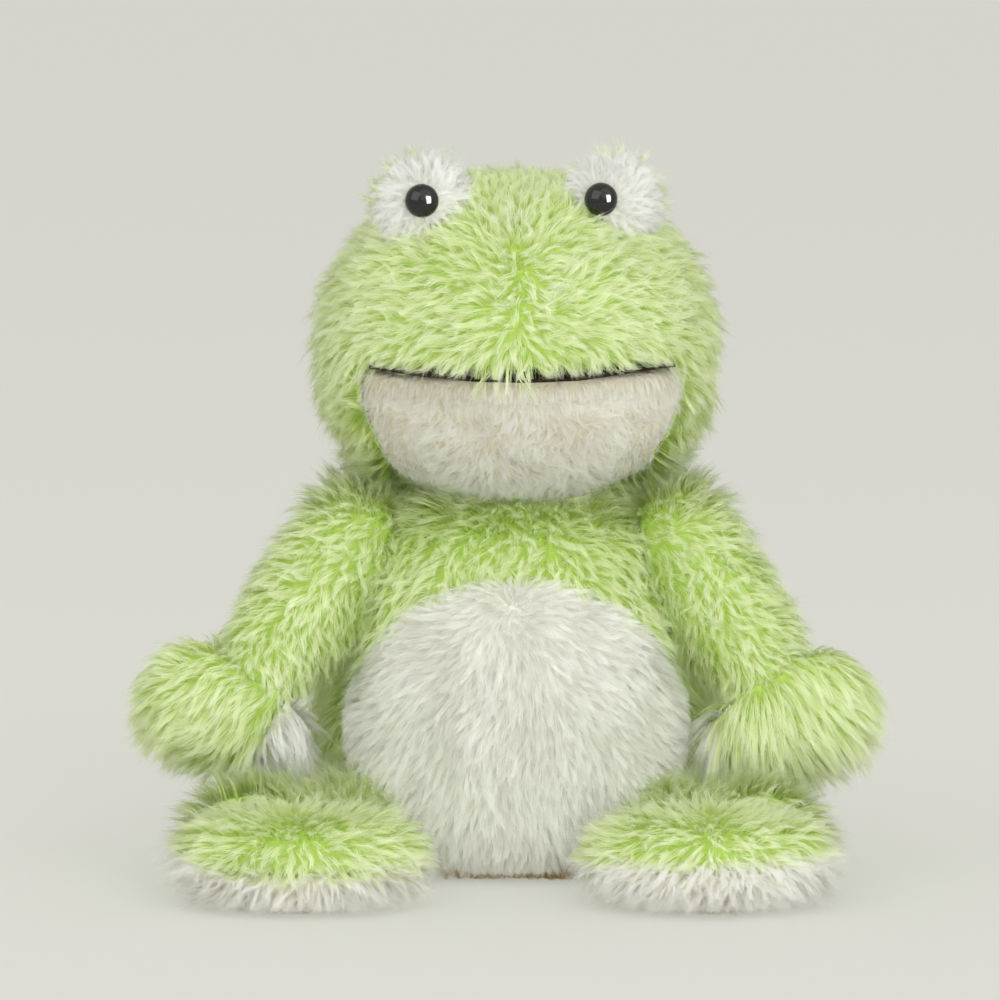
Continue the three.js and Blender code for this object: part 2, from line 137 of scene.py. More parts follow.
def linear(code):
    """An sRGB hex colour as the linear RGBA that sockets take."""
    srgb = [int(code[i:i + 2], 16) / 255 for i in (1, 3, 5)]
    return [c / 12.92 if c <= 0.04045 else ((c + 0.055) / 1.055) ** 2.4 for c in srgb] + [1.0]


def add_node(tree, kind, links=(), **settings):
    """Adds a node. Settings name its properties or its input sockets, and links are (input, output)."""
    node = tree.nodes.new("ShaderNode" + kind)
    for name, value in settings.items():
        if hasattr(node, name):
            setattr(node, name, value)
        else:
            node.inputs[name.replace("_", " ")].default_value = value
    for entry, source in links:
        tree.links.new(source, node.inputs[entry])
    return node


def new_material(name):
    material = bpy.data.materials.new(name)
    material.use_nodes = True
    material.node_tree.nodes.clear()
    return material, material.node_tree


def ramp(tree, fac, stops):
    """A colour ramp along a value, from (position, hex colour) stops."""
    node = add_node(tree, "ValToRGB", [("Fac", fac)])
    elements = node.color_ramp.elements
    for i, (position, code) in enumerate(stops):
        element = elements[i] if i < 2 else elements.new(position)
        element.position = position
        element.color = linear(code)
    return node.outputs["Color"]


def let_through(tree, surface, share):
    """Ends a material whose thin fibres stop only a part of a lamp's light."""
    rays = add_node(tree, "LightPath")
    thin = add_node(tree, "Math", [(0, rays.outputs["Is Shadow Ray"])], operation="MULTIPLY")
    thin.inputs[1].default_value = share
    clear = add_node(tree, "BsdfTransparent")
    soft = add_node(tree, "MixShader", [(0, thin.outputs[0]), (1, surface.outputs[0]), (2, clear.outputs[0])])
    add_node(tree, "OutputMaterial", [("Surface", soft.outputs[0])])


# Pile: polyester fibre, sheared and brushed into tufts. Its tips are paler than its roots.
# The stops run from root to tip, for a dull tuft and for a pale one.

GREEN_DULL = [(0.0, "#B6CF5C"), (0.35, "#CFDE8E"), (0.7, "#E2EBBC"), (1.0, "#ECF3D6")]
GREEN_PALE = [(0.0, "#CADA7C"), (0.35, "#E0EBB2"), (0.7, "#F0F6DA"), (1.0, "#FAFCF0")]
# Painted shade: a deeper, more saturated green for strands where shade falls
GREEN_PAINTED_SHADE = [(0.0, "#93BE2C"), (0.35, "#AFD14C"), (0.7, "#C2DC6E"), (1.0, "#D0E488")]
WHITE_DULL = [(0.0, "#DEDFD9"), (0.4, "#E8E9E4"), (0.7, "#EEEFEC"), (1.0, "#F3F4F1")]
WHITE_PALE = [(0.0, "#E8E9E4"), (0.4, "#F0F1EE"), (0.7, "#F6F7F5"), (1.0, "#FAFAF9")]
BELLY_DULL = [(0.0, "#CCCDC2"), (0.4, "#D8D9D0"), (0.7, "#E1E2DC"), (1.0, "#E8E9E4")]
BELLY_PALE = [(0.0, "#E4E5DC"), (0.4, "#EEEFE9"), (0.7, "#F6F7F3"), (1.0, "#FCFCFB")]
# Painted shadow: warm ochre for the shadow and bounced light where white pile meets the table
HEM_PAINTED_SHADOW_DULL = [(0.0, "#B08A30"), (1.0, "#C4A450")]
HEM_PAINTED_SHADOW_PALE = [(0.0, "#C8A44C"), (1.0, "#DCC688")]
# The sole's roots are painted warm, for the glow of light bounced at the table
SOLE_DULL = [(0.0, "#DCC8A0"), (0.3, "#F0EADB"), (0.6, "#F6F5EF"), (1.0, "#FAFAF7")]
CREAM_DULL = [(0.0, "#CBBD9C"), (0.3, "#D3CFBE"), (0.65, "#DADACF"), (1.0, "#E2E3DD")]
CREAM_PALE = [(0.0, "#DCD6C4"), (0.3, "#E8E7DE"), (0.65, "#F1F2EE"), (1.0, "#F9FAF9")]
PILE_GLOW = 0.5  # the share of light that goes on through a strand


def pile_material(name, dull, pale):
    """Fine polyester fibre: softly shiny, and lit from within by the light that passes through it."""
    material, tree = new_material(name)
    along = add_node(tree, "Attribute", attribute_name="along").outputs["Fac"]
    tint = add_node(tree, "Attribute", attribute_name="tint").outputs["Fac"]
    mixed = add_node(
        tree, "Mix", [("Factor", tint), ("A", ramp(tree, along, dull)), ("B", ramp(tree, along, pale))],
        data_type="RGBA",
    )
    colour = mixed.outputs["Result"]
    fibre = add_node(
        tree, "BsdfPrincipled", [("Base Color", colour)], Roughness=0.62, IOR=1.45, Specular_IOR_Level=0.28,
    )
    passing = add_node(tree, "BsdfTranslucent", [("Color", colour)])
    both = add_node(tree, "MixShader", [(1, fibre.outputs[0]), (2, passing.outputs[0])], Fac=PILE_GLOW)
    let_through(tree, both, 0.9)
    return material


def knit_material(name, shade, light):
    """Warp-knitted polyester backing: a dull cloth that only shows in partings."""
    material, tree = new_material(name)
    place = add_node(tree, "TexCoord").outputs["Object"]
    stitch_pitch = 1.4 * MM  # drawn coarser than the real 0.9 mm, so that it shows
    knit = add_node(tree, "TexNoise", [("Vector", place)], Scale=1 / stitch_pitch, Detail=3.0)
    tone = ramp(tree, knit.outputs["Fac"], [(0.3, shade), (0.7, light)])
    bump = add_node(tree, "Bump", [("Height", knit.outputs["Fac"])], Strength=0.6, Distance=0.4 * MM)
    cloth = add_node(
        tree, "BsdfPrincipled", [("Base Color", tone), ("Normal", bump.outputs[0])],
        Roughness=0.95, Specular_IOR_Level=0.1,
    )
    let_through(tree, cloth, 0.8)
    return material


def felt_material():
    """Needled wool felt, cut at its edge: a dark brown mat with short loose fibres."""
    material, tree = new_material("needled_felt")
    place = add_node(tree, "TexCoord").outputs["Object"]
    clump = 0.9 * MM
    mat = add_node(tree, "TexNoise", [("Vector", place)], Scale=1 / clump, Detail=4.0)
    tone = ramp(tree, mat.outputs["Fac"], [(0.3, "#181009"), (0.75, "#33271A")])
    bump = add_node(tree, "Bump", [("Height", mat.outputs["Fac"])], Strength=0.9, Distance=0.3 * MM)
    felt = add_node(
        tree, "BsdfPrincipled", [("Base Color", tone), ("Normal", bump.outputs[0])],
        Roughness=0.95, Specular_IOR_Level=0.05,
    )
    add_node(tree, "OutputMaterial", [("Surface", felt.outputs[0])])
    return material


def eye_material():
    """Injection-moulded polystyrene, polished: black and glossy, with faint handling marks."""
    material, tree = new_material("polished_polystyrene")
    place = add_node(tree, "TexCoord").outputs["Object"]
    mark = 2.5 * MM
    marks = add_node(tree, "TexNoise", [("Vector", place)], Scale=1 / mark, Detail=2.0)
    rough = add_node(tree, "MapRange", [("Value", marks.outputs["Fac"])], To_Min=0.03, To_Max=0.09)
    colour = bpy.context.scene.frog_eyes.colour[:]
    gloss = add_node(tree, "BsdfPrincipled", [("Roughness", rough.outputs[0])], Base_Color=colour, IOR=1.55)
    add_node(tree, "OutputMaterial", [("Surface", gloss.outputs[0])])
    return material


def washer_material():
    """Moulded polyethylene, unpolished: waxy and pale."""
    material, tree = new_material("moulded_polyethylene")
    place = add_node(tree, "TexCoord").outputs["Object"]
    grain_width = 0.8 * MM
    grain = add_node(tree, "TexNoise", [("Vector", place)], Scale=1 / grain_width, Detail=2.0)
    bump = add_node(tree, "Bump", [("Height", grain.outputs["Fac"])], Strength=0.2, Distance=0.05 * MM)
    wax = add_node(
        tree, "BsdfPrincipled", [("Normal", bump.outputs[0])], Base_Color=linear("#DEDED6"), Roughness=0.42,
    )
    add_node(tree, "OutputMaterial", [("Surface", wax.outputs[0])])
    return material


def calico_material():
    """Unbleached plain-weave cotton: crossing threads with slubs."""
    material, tree = new_material("woven_calico")
    place = add_node(tree, "TexCoord").outputs["Object"]
    thread_pitch = 0.9 * MM  # drawn twice as coarse as the real threads, so that they show
    bands = 20 / (2 * math.pi)  # that a wave texture of scale 1 draws in a metre
    threads = []
    for way in ("X", "Z"):
        wave = add_node(
            tree, "TexWave", [("Vector", place)], bands_direction=way,
            Scale=1 / thread_pitch / bands, Distortion=1.5, Detail=1.0,
        )
        threads.append(wave.outputs["Fac"])
    weave = add_node(tree, "Math", [(0, threads[0]), (1, threads[1])], operation="MULTIPLY")
    tone = ramp(tree, weave.outputs[0], [(0.0, "#BBB094"), (1.0, "#E0D8C2")])
    bump = add_node(tree, "Bump", [("Height", weave.outputs[0])], Strength=0.5, Distance=0.2 * MM)
    cloth = add_node(
        tree, "BsdfPrincipled", [("Base Color", tone), ("Normal", bump.outputs[0])], Roughness=0.9,
    )
    add_node(tree, "OutputMaterial", [("Surface", cloth.outputs[0])])
    return material


FINISHES = {
    "green_pile": lambda: pile_material("green_polyester_pile", GREEN_DULL, GREEN_PALE),
    "painted_shade_green_pile": lambda: pile_material("green_polyester_pile_painted_shade", GREEN_PAINTED_SHADE, GREEN_DULL),
    "white_pile": lambda: pile_material("white_polyester_pile", WHITE_DULL, WHITE_PALE),
    "belly_pile": lambda: pile_material("belly_polyester_pile", BELLY_DULL, BELLY_PALE),
    "hem_painted_shadow_pile": lambda: pile_material("hem_polyester_pile_painted_shadow", HEM_PAINTED_SHADOW_DULL, HEM_PAINTED_SHADOW_PALE),
    "sole_pile": lambda: pile_material("sole_polyester_pile", SOLE_DULL, WHITE_PALE),
    "cream_pile": lambda: pile_material("cream_polyester_pile", CREAM_DULL, CREAM_PALE),
    "green_knit": lambda: knit_material("green_knit", "#9DBB50", "#ABC762"),
    "white_knit": lambda: knit_material("white_knit", "#CFCFC4", "#DBDBD1"),
    "cream_knit": lambda: knit_material("cream_knit", "#CFCAB0", "#DEDAC6"),
    "felt": felt_material,
    "eye": eye_material,
    "washer": washer_material,
    "calico": calico_material,
}
finished = {}


def materials(name):
    """A finish by name, made once."""
    if name not in finished:
        finished[name] = FINISHES[name]()
    return finished[name]


# Meshes and pieces

def arrays_of(mesh):
    """A mesh's points and triangles."""
    mesh.calc_loop_triangles()
    points = np.empty(len(mesh.vertices) * 3)
    mesh.vertices.foreach_get("co", points)
    faces = np.empty(len(mesh.loop_triangles) * 3, np.int32)
    mesh.loop_triangles.foreach_get("vertices", faces)
    return points.reshape(-1, 3), faces.reshape(-1, 3)


def packed(node):
    return arrays_of(frame["nodes"][node].data)


def middle_of(node):
    low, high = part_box(node)
    return (low + high) / 2


def face_normals(points, faces):
    """Normals as long as twice the area of their face."""
    a, b, c = (points[faces[:, i]] for i in range(3))
    return np.cross(b - a, c - a)


def vertex_normals(points, faces):
    across = face_normals(points, faces)
    normals = np.zeros_like(points)
    for i in range(3):
        np.add.at(normals, faces[:, i], across)
    return unit(normals)


def tree_of(points, faces):
    """A tree that finds the nearest face, and the first face along a ray."""
    return BVHTree.FromPolygons(points.tolist(), faces.tolist())


def mesh_from(name, points, faces, smooth=True):
    mesh = bpy.data.meshes.new(name)
    mesh.from_pydata(points.tolist(), [], faces.tolist())
    if smooth:
        mesh.shade_smooth()
    else:
        mesh.shade_flat()
    return mesh


def link(name, mesh, material):
    """A new object in the scene, in one finish."""
    piece = bpy.data.objects.new(name, mesh)
    piece.data.materials.append(material)
    bpy.context.scene.collection.objects.link(piece)
    return piece


def stand_in(piece, node):
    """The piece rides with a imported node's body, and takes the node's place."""
    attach(piece, BODY[node])
    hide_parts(node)


def finish_as(node, name):
    """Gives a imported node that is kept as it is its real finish."""
    slots = frame["nodes"][node].data.materials
    slots.clear()
    slots.append(materials(name))


# Sewn covers

COVER_DEPTHS = {"jaw_panel": 4.5 * MM, "eye_mound": 6 * MM, "eye_patch": 4.2 * MM}
COVER_DEPTH = 4.7 * MM
SEAM_REACH = 2.6 * MM  # cloth this near to the next piece is sewn to it
COVER_REACH = 5 * MM  # cloth with the next piece this near over it is hidden
SEAM_PILE = 8 * MM  # how far pile runs on into a seam
JOINT_PILE = 22 * MM  # and into a joint, which may bare it
VOXEL = 3.5 * MM
FLOOR_CLEARANCE = 1.2 * MM
covers = {}


def plain_name(node):
    """A node's name without its side."""
    return node.split("_", 1)[1] if node.split("_")[0] in SIDES else node


def same_body(node, other):
    return BODY[node] == BODY[other]


def joined(node, other):
    """Whether two nodes belong to one body, or to two that share a joint."""
    pair = {BODY[node], BODY[other]}
    joints = frame["record"]["behaviour"]["joints"]
    return len(pair) == 1 or any({j["parent"], j["child"]} == pair for j in joints)


def outside_faces(node, hides):
    """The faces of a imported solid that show: not on the table, and not under a node that hides it."""
    points, faces = packed(node)
    trees = [tree_of(*packed(other)) for other in frame["nodes"] if other != node and hides(node, other)]
    normals = unit(face_normals(points, faces))
    centres = points[faces].mean(axis=1)
    shows = []
    for centre, normal in zip(centres, normals):
        on_table = centre[2] < 0.7 * MM and normal[2] < -0.9
        sewn = any(tree.find_nearest(centre, SEAM_REACH)[0] is not None for tree in trees)
        start = centre + normal * 0.2 * MM
        covered = any(tree.ray_cast(start, normal, COVER_REACH)[0] is not None for tree in trees)
        shows.append(not (on_table or sewn or covered))
    return points, faces[np.array(shows)]


def remeshed(node):
    """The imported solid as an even, rounded mesh."""
    source = frame["nodes"][node]
    work = bpy.data.objects.new(node + "_work", source.data.copy())
    bpy.context.scene.collection.objects.link(work)
    even = work.modifiers.new("even", "REMESH")
    even.mode = "VOXEL"
    even.voxel_size = VOXEL
    rounded = work.modifiers.new("rounded", "SMOOTH")
    rounded.factor = 0.5
    rounded.iterations = 6
    graph = bpy.context.evaluated_depsgraph_get()
    mesh = bpy.data.meshes.new_from_object(work.evaluated_get(graph))
    points, faces = arrays_of(mesh)
    bpy.data.meshes.remove(mesh)
    bpy.data.objects.remove(work)
    return points, faces


def smoothed(points, faces, rounds):
    """Points drawn towards the mean of their neighbours."""
    sides = np.vstack([faces[:, [0, 1]], faces[:, [1, 2]], faces[:, [2, 0]]])
    edges = np.unique(np.sort(sides, axis=1), axis=0)
    count = np.zeros(len(points))
    np.add.at(count, edges.ravel(), 1)
    for _ in range(rounds):
        total = np.zeros_like(points)
        np.add.at(total, edges[:, 0], points[edges[:, 1]])
        np.add.at(total, edges[:, 1], points[edges[:, 0]])
        points = points * 0.5 + total / count[:, None] * 0.5
    return points


def cover(node):
    """A piece's sewn cover: its points, faces, normals, and which points carry pile."""
    if node in covers:
        return covers[node]
    depth = COVER_DEPTHS.get(plain_name(node), COVER_DEPTH)
    points, faces = remeshed(node)
    shown_points, shown_faces = outside_faces(node, joined)
    shown = tree_of(shown_points, shown_faces)
    bared = tree_of(*outside_faces(node, same_body))
    shown_normals = unit(face_normals(shown_points, shown_faces))
    normals = vertex_normals(points, faces)
    moved = points.copy()
    carries = np.zeros(len(points), bool)
    for i, point in enumerate(points):
        _, _, index, distance = shown.find_nearest(point)
        moves_bare = distance < JOINT_PILE and bared.find_nearest(point, 2 * MM)[0] is not None
        carries[i] = distance < SEAM_PILE or moves_bare
        on_top = distance < 1.6 * MM and np.dot(shown_normals[index], normals[i]) > 0.3
        outwards = normals[i] if on_top else shown_normals[index]
        moved[i] = point - outwards * max(0.0, depth - distance)
    moved = smoothed(moved, faces, 4)
    moved[:, 2] = np.maximum(moved[:, 2], FLOOR_CLEARANCE)
    covers[node] = {
        "points": moved, "faces": faces, "normals": vertex_normals(moved, faces), "carries": carries,
    }
    return covers[node]


def sew_cover(node, material):
    """The stuffed cover that stands for a packed soft solid."""
    made = cover(node)
    piece = link(node + "_cover", mesh_from(node + "_cover", made["points"], made["faces"]), material)
    stand_in(piece, node)


# Pile as tufts of ribbon strands

TUFT_TRIES = 3.5  # places tried in each square tuft width, before those too near to another go
TUFT_GAP = 0.72  # least gap between tufts, in tuft widths
LEANS = (0.1, 1.45)  # least and most lean of a tuft, in radians from upright
FIRST_RISE = 0.5  # how much more upright a strand leaves the cloth, in radians
ROOM_USED = 0.85  # of the way to another piece's cover
LEAST_SHARE = 0.4  # of its length that a tuft keeps there, pressed in
TUFT_HOLDS, LOOSE_HOLDS = (0.25, 0.7), (0.0, 0.3)  # how far strands are drawn to their tuft's tip
LOOSE_LENGTH, LOOSE_WIDTH, LOOSE_CURL, LOOSE_TINT = 1.06, 0.6, 2.2, 0.25
STRANDS_PER_PIECE = 38000
STEPS = np.array([0.0, 0.36, 0.7])
WIDTH_SHARES = np.array([1.0, 0.92, 0.62])
ROLL = 1.1  # how far a ribbon is turned about its own line, at most
FACE_SHADE = 0.22  # how much a ribbon's own face counts beside the cloth's in its shading
LEAST_HEIGHT = 0.4 * MM


def look(**changes):
    """What a stretch of pile is like: lengths in metres and angles in radians."""
    sizes = bpy.context.scene.frog_pile
    usual = {
        "length": 11 * MM, "tuft": 2.6 * MM, "per_mm2": sizes.strands, "width": sizes.strand_width,
        "lean": math.radians(52), "lean_stray": math.radians(12), "lean_sway": math.radians(6),
        "stray": math.radians(26), "sway": math.radians(22), "sway_length": 34 * MM,
        "uneven": 0.2, "droop": 0.06, "loose": 0.45, "fray": 0.5 * MM, "curl": 1.1 * MM,
        "mottle": 0.12,
    }
    usual.update(changes)
    return usual


def from_point(source, bias=(0, 0, 0)):
    """Flow away from a point, with a steady bias."""
    source, bias = np.array(source), np.array(bias)
    return lambda points, normals: unit(points - source) + bias


def steady(way):
    """Flow one way all over."""
    return lambda points, normals: np.tile(np.array(way, float), (len(points), 1))


def scattered(made, per_mm2, rng, where):
    """Points spread over the faces of a cover that carry pile, with normals."""
    points, faces = made["points"], made["faces"]
    area = np.linalg.norm(face_normals(points, faces), axis=1) / 2
    area = area * made["carries"][faces].all(axis=1)
    if where is not None:
        area = area * where(points[faces].mean(axis=1))
    count = int(area.sum() / MM**2 * per_mm2)
    picked = rng.choice(len(area), count, p=area / area.sum())
    u, v = rng.random((2, count, 1))
    beyond = u + v > 1
    u = np.where(beyond, 1 - u, u)
    v = np.where(beyond, 1 - v, v)
    a, b, c = (faces[picked, i] for i in range(3))
    place = points[a] * (1 - u - v) + points[b] * u + points[c] * v
    normals = made["normals"]
    normal = unit(normals[a] * (1 - u - v) + normals[b] * u + normals[c] * v)
    return place, normal


def point_tree(points):
    tree = KDTree(len(points))
    for i, point in enumerate(points):
        tree.insert(point, i)
    tree.balance()
    return tree


def thinned(points, gap):
    """Indices of points at least a gap apart."""
    tree = point_tree(points)
    left = np.ones(len(points), bool)
    kept = []
    for i, point in enumerate(points):
        if left[i]:
            kept.append(i)
            for _, j, _ in tree.find_range(point, gap):
                left[j] = False
    return np.array(kept)


def nearest(points, centres):
    """For each point, the index of the centre that is nearest to it."""
    tree = point_tree(centres)
    return np.array([tree.find(point)[1] for point in points])


def room_shares(roots, normals, reaches, node):
    """How much of its reach each tuft has before another piece's cover."""
    others = [tree_of(cover(n)["points"], cover(n)["faces"]) for n in SOFT if n != node]
    length = np.linalg.norm(reaches, axis=1)
    ways = unit(reaches)
    shares = np.ones(len(roots))
    for i, root in enumerate(roots):
        start = root + normals[i] * 0.5 * MM
        for tree in others:
            distance = tree.ray_cast(start, ways[i], length[i])[3]
            if distance is not None:
                shares[i] = min(shares[i], distance / length[i])
    return shares


def lay_tufts(node, pile, flow, seed, rng, where=None, settle=None, stand=None, trim=None, shade=None):
    """Tufts over a cover: the centre, reach, first rise, tip and tint of each."""
    centres, normals = scattered(cover(node), TUFT_TRIES / (pile["tuft"] / MM) ** 2, rng, where)
    kept = thinned(centres, pile["tuft"] * TUFT_GAP)
    centres, normals = centres[kept], normals[kept]
    count = len(centres)
    aim = flow(centres, normals)
    aim = unit(aim - normals * (aim * normals).sum(axis=1, keepdims=True))
    sway = waves(centres, pile["sway_length"], seed) * pile["sway"]
    aim = turned(aim, normals, sway + rng.normal(0, pile["stray"], count))
    lean = pile["lean"] + waves(centres, pile["sway_length"], seed + 1) * pile["lean_sway"]
    if stand is not None:
        lean = lean * (1 - stand(centres))
    lean = np.clip(lean + rng.normal(0, pile["lean_stray"], count), *LEANS)[:, None]
    length = pile["length"] * (1 + rng.normal(0, pile["uneven"], count))
    if trim is not None:
        length = length * trim(centres)
    reach = (normals * np.cos(lean) + aim * np.sin(lean)) * length[:, None]
    rise = (normals * np.cos(lean - FIRST_RISE) + aim * np.sin(lean - FIRST_RISE)) * length[:, None] * 0.5
    reach[:, 2] -= pile["droop"] * length
    shares = room_shares(centres, normals, reach, node)
    shares = np.where(shares < 1, np.maximum(shares * ROOM_USED, LEAST_SHARE), 1)[:, None]
    reach, rise = reach * shares, rise * shares
    tips = centres + reach
    if settle is not None:
        tips = settle(tips, centres)
        reach = tips - centres
    tint = 0.5 + rng.normal(0, 0.24, count) + waves(centres, 30 * MM, seed + 2) * 0.16
    if shade is not None:
        tint = tint + shade(centres)
    return centres, reach, rise, tips, tint


def spread_strands(node, pile, tufts, rng, where, guard):
    """Strands over a cover, each bent and coloured with its tuft, and some of them loose."""
    centres, reach, rise, tips, tint = tufts
    roots, normals = scattered(cover(node), pile["per_mm2"], rng, where)
    mine = nearest(roots, centres)
    count = len(roots)
    loose = rng.random(count) < pile["loose"]
    hold = np.where(loose, rng.uniform(*LOOSE_HOLDS, count), rng.uniform(*TUFT_HOLDS, count))[:, None]
    curl = unit(rng.normal(size=(count, 3))) * pile["curl"] * np.where(loose, LOOSE_CURL, 1)[:, None]
    own = roots + reach[mine] * (1 + rng.normal(0, 0.07, (count, 1))) + curl
    ends = own * (1 - hold) + tips[mine] * hold + rng.normal(0, pile["fray"], (count, 3))
    cut = rng.uniform(0.72, 1.0, (count, 1)) ** 0.7
    ends = roots + (ends - roots) * np.where(loose[:, None], LOOSE_LENGTH, cut)
    bends = roots + rise[mine] + (centres[mine] - roots) * 0.3 - curl * 0.4
    if guard is not None:
        bends, ends = guard(bends), guard(ends)
    return {
        "roots": roots, "bends": bends, "ends": ends, "normals": normals,
        "width": pile["width"] * rng.uniform(0.75, 1.25, count) * np.where(loose, LOOSE_WIDTH, 1),
        "tint": tint[mine] + rng.normal(0, pile["mottle"], count) + loose * LOOSE_TINT,
    }


def grow_pile(name, node, finish, pile, flow, seed, slot=None, guard=None, **groom):
    """Pile on a node's cover, as one piece or more of ribbon strands that ride with it.

    Grooming says where the pile grows, how far it stands up, its trim, how its tips settle, and its shade:
    a shift of the tint that mostly paints light and shade. Strands that it tints below the green ramp,
    where shade is painted deepest, are pieces of their own in a green finish of painted shade.
    """
    rng = np.random.default_rng(seed)
    tufts = lay_tufts(node, pile, flow, seed, rng, **groom)
    strands = spread_strands(node, pile, tufts, rng, groom.get("where"), guard)
    order = np.argsort(strands["roots"][:, 2], kind="stable")
    tint = strands["tint"]
    kinds = [(name, finish, order)]
    # Strands tinted below 0 are in painted shade, and take its deeper green finish
    if finish == "green_pile":
        shaded_strands = tint[order] < 0
        kinds = [(name, finish, order[~shaded_strands]), (name + "_in_painted_shade", "painted_shade_green_pile", order[shaded_strands])]
        tint = np.where(tint < 0, tint + 1, tint)
    strands["tint"] = np.clip(tint, 0, 1)
    for kind_name, kind_finish, members in kinds:
        parts = math.ceil(len(members) / STRANDS_PER_PIECE)
        for part in range(parts):
            chosen = np.array_split(members, parts)[part]
            piece_name = kind_name if parts == 1 else f"{kind_name}_{part + 1}"
            ribbons = {key: values[chosen] for key, values in strands.items()}
            piece = link(piece_name, strand_mesh(piece_name, rng, **ribbons), materials(kind_finish))
            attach(piece, BODY[node])


def strand_mesh(name, rng, roots, bends, ends, normals, width, tint):
    """Ribbons that taper to a point, with their place along the strand and their tint."""
    count = len(roots)
    steps = STEPS[None, :, None]
    start, bend, end = roots[:, None], bends[:, None], ends[:, None]
    line = start * (1 - steps) ** 2 + bend * 2 * steps * (1 - steps) + end * steps**2
    ways = unit((bend - start) * (1 - steps) + (end - bend) * steps)
    side = unit(np.cross(ways, normals[:, None]))
    face = unit(np.cross(side, ways))
    roll = rng.uniform(-ROLL, ROLL, (count, 1, 1))
    side = side * np.cos(roll) + face * np.sin(roll)
    half = side * (width[:, None, None] / 2) * WIDTH_SHARES[None, :, None]
    points = np.empty((count, 7, 3))
    points[:, 0:6:2] = line - half
    points[:, 1:6:2] = line + half
    points[:, 6] = ends
    points[..., 2] = np.maximum(points[..., 2], LEAST_HEIGHT + np.abs(points[..., 2]) * 0.02)

    base = (np.arange(count) * 7)[:, None]
    corners = np.array([0, 1, 3, 2, 2, 3, 5, 4, 4, 5, 6])
    loops = (base + corners).ravel()
    starts = ((np.arange(count) * 11)[:, None] + np.array([0, 4, 8])).ravel()
    mesh = bpy.data.meshes.new(name)
    mesh.vertices.add(count * 7)
    mesh.vertices.foreach_set("co", points.astype(np.float32).ravel())
    mesh.loops.add(len(loops))
    mesh.loops.foreach_set("vertex_index", loops.astype(np.int32))
    mesh.polygons.add(len(starts))
    mesh.polygons.foreach_set("loop_start", starts.astype(np.int32))
    mesh.update(calc_edges=True)
    mesh.shade_smooth()

    along = np.tile(np.append(np.repeat(STEPS, 2), 1.0), count)
    tints = np.repeat(tint, 7)
    for title, values in (("along", along), ("tint", tints)):
        mesh.attributes.new(title, "FLOAT", "POINT").data.foreach_set("value", values.astype(np.float32))
    # The bake's chart has the tint across and the place along the strand upwards.
    offset = np.tile(np.array([-1, 1, -1, 1, -1, 1, 0]), count) * 0.012
    chart = np.stack([0.03 + tints * 0.94 + offset, 0.02 + along * 0.96], axis=1)
    mesh.uv_layers.new(name="OFBake").data.foreach_set("uv", chart[loops].astype(np.float32).ravel())

    lit = unit(normals[:, None] + face.mean(axis=1, keepdims=True) * FACE_SHADE)
    shading = np.repeat(lit, 7, axis=1).reshape(-1, 3)
    mesh.normals_split_custom_set_from_vertices(shading.astype(np.float32))
    return mesh


# Sizes and colours to change

class FROG_PG_pile(bpy.types.PropertyGroup):
    """The pile's strands"""
    strand_width: bpy.props.FloatProperty(
        name="Strand width", description="Width of a strand at its root",
        default=0.22 * MM, unit="LENGTH", precision=5,
    )
    strands: bpy.props.FloatProperty(
        name="Strands per square millimetre", description="How densely the cloth is tufted", default=2.6,
    )


class FROG_PG_eyes(bpy.types.PropertyGroup):
    """The moulded eyes"""
    colour: bpy.props.FloatVectorProperty(
        name="Eye colour", description="Colour of the moulded eyes", subtype="COLOR",
        size=4, default=linear("#0B0A0A"),
    )


class FROG_PG_stage(bpy.types.PropertyGroup):
    """The camera and the paper"""
    elevation: bpy.props.FloatProperty(
        name="Elevation", description="How far above level the camera looks from",
        default=math.radians(8), subtype="ANGLE",
    )
    distance: bpy.props.FloatProperty(
        name="Distance", description="From the camera to the toy", default=4.5, unit="LENGTH",
    )
    view_width: bpy.props.FloatProperty(
        name="View width", description="Width of the picture at the toy", default=0.45, unit="LENGTH",
    )
    paper: bpy.props.FloatVectorProperty(
        name="Paper", description="Colour of the paper sweep", subtype="COLOR",
        size=4, default=linear("#C8C8C3"),
    )
    backdrop: bpy.props.FloatVectorProperty(
        name="Backdrop", description="Colour behind the paper sweep", subtype="COLOR",
        size=4, default=linear("#DEDED6"),
    )


# Stage

CAMERA_AIM = (-3 * MM, 35.5 * MM, 167 * MM)
LAMP_AIM = (0, 0, 0.15)
FILL_STRENGTH = 0.77
SKY_POWER = 0.57
# Place, width and watts
SOFTBOXES = {
    "key_softbox": ((0.8, -1.5, 1.2), 0.7, 6.5),
    "side_softbox": ((-1.1, -1.1, 1.3), 1.4, 7.5),
    "front_fill": ((0.2, -2.4, 0.15), 1.5, 32),
}
FLOOR_RADIUS = 14.0
FLOOR_CORNERS = 96


class FROG_OT_stage(bpy.types.Operator):
    """Lays the pale floor and sets the lamps and the camera"""
    bl_idname = "frog.stage"
    bl_label = "Stage"

    def execute(self, context):
        scene = context.scene
        stage = scene.frog_stage
        scene.view_settings.view_transform = "Standard"
        scene.cycles.max_bounces = 20
        scene.cycles.diffuse_bounces = 16
        scene.cycles.transmission_bounces = 16
        scene.cycles.transparent_max_bounces = 32
        link("floor", mesh_from("floor", *floor_disc()), paper_material(stage.paper[:]))
        scene.world = studio_world(stage.backdrop[:])
        set_lamps()
        scene.camera = aimed_camera(stage)
        return {"FINISHED"}


def studio_world(colour):
    """An even pale fill, and the backdrop's colour where it is seen sharply."""
    world = bpy.data.worlds.new("studio")
    world.use_nodes = True
    tree = world.node_tree
    tree.nodes.clear()
    backdrop = add_node(tree, "Background", Color=colour, Strength=1.0)
    fill = add_node(tree, "Background", Color=linear("#FCFCFB"), Strength=FILL_STRENGTH)
    both = add_node(
        tree, "MixShader", [(0, seen_sharply(tree)), (1, fill.outputs[0]), (2, backdrop.outputs[0])],
    )
    add_node(tree, "OutputWorld", [("Surface", both.outputs[0])])
    return world


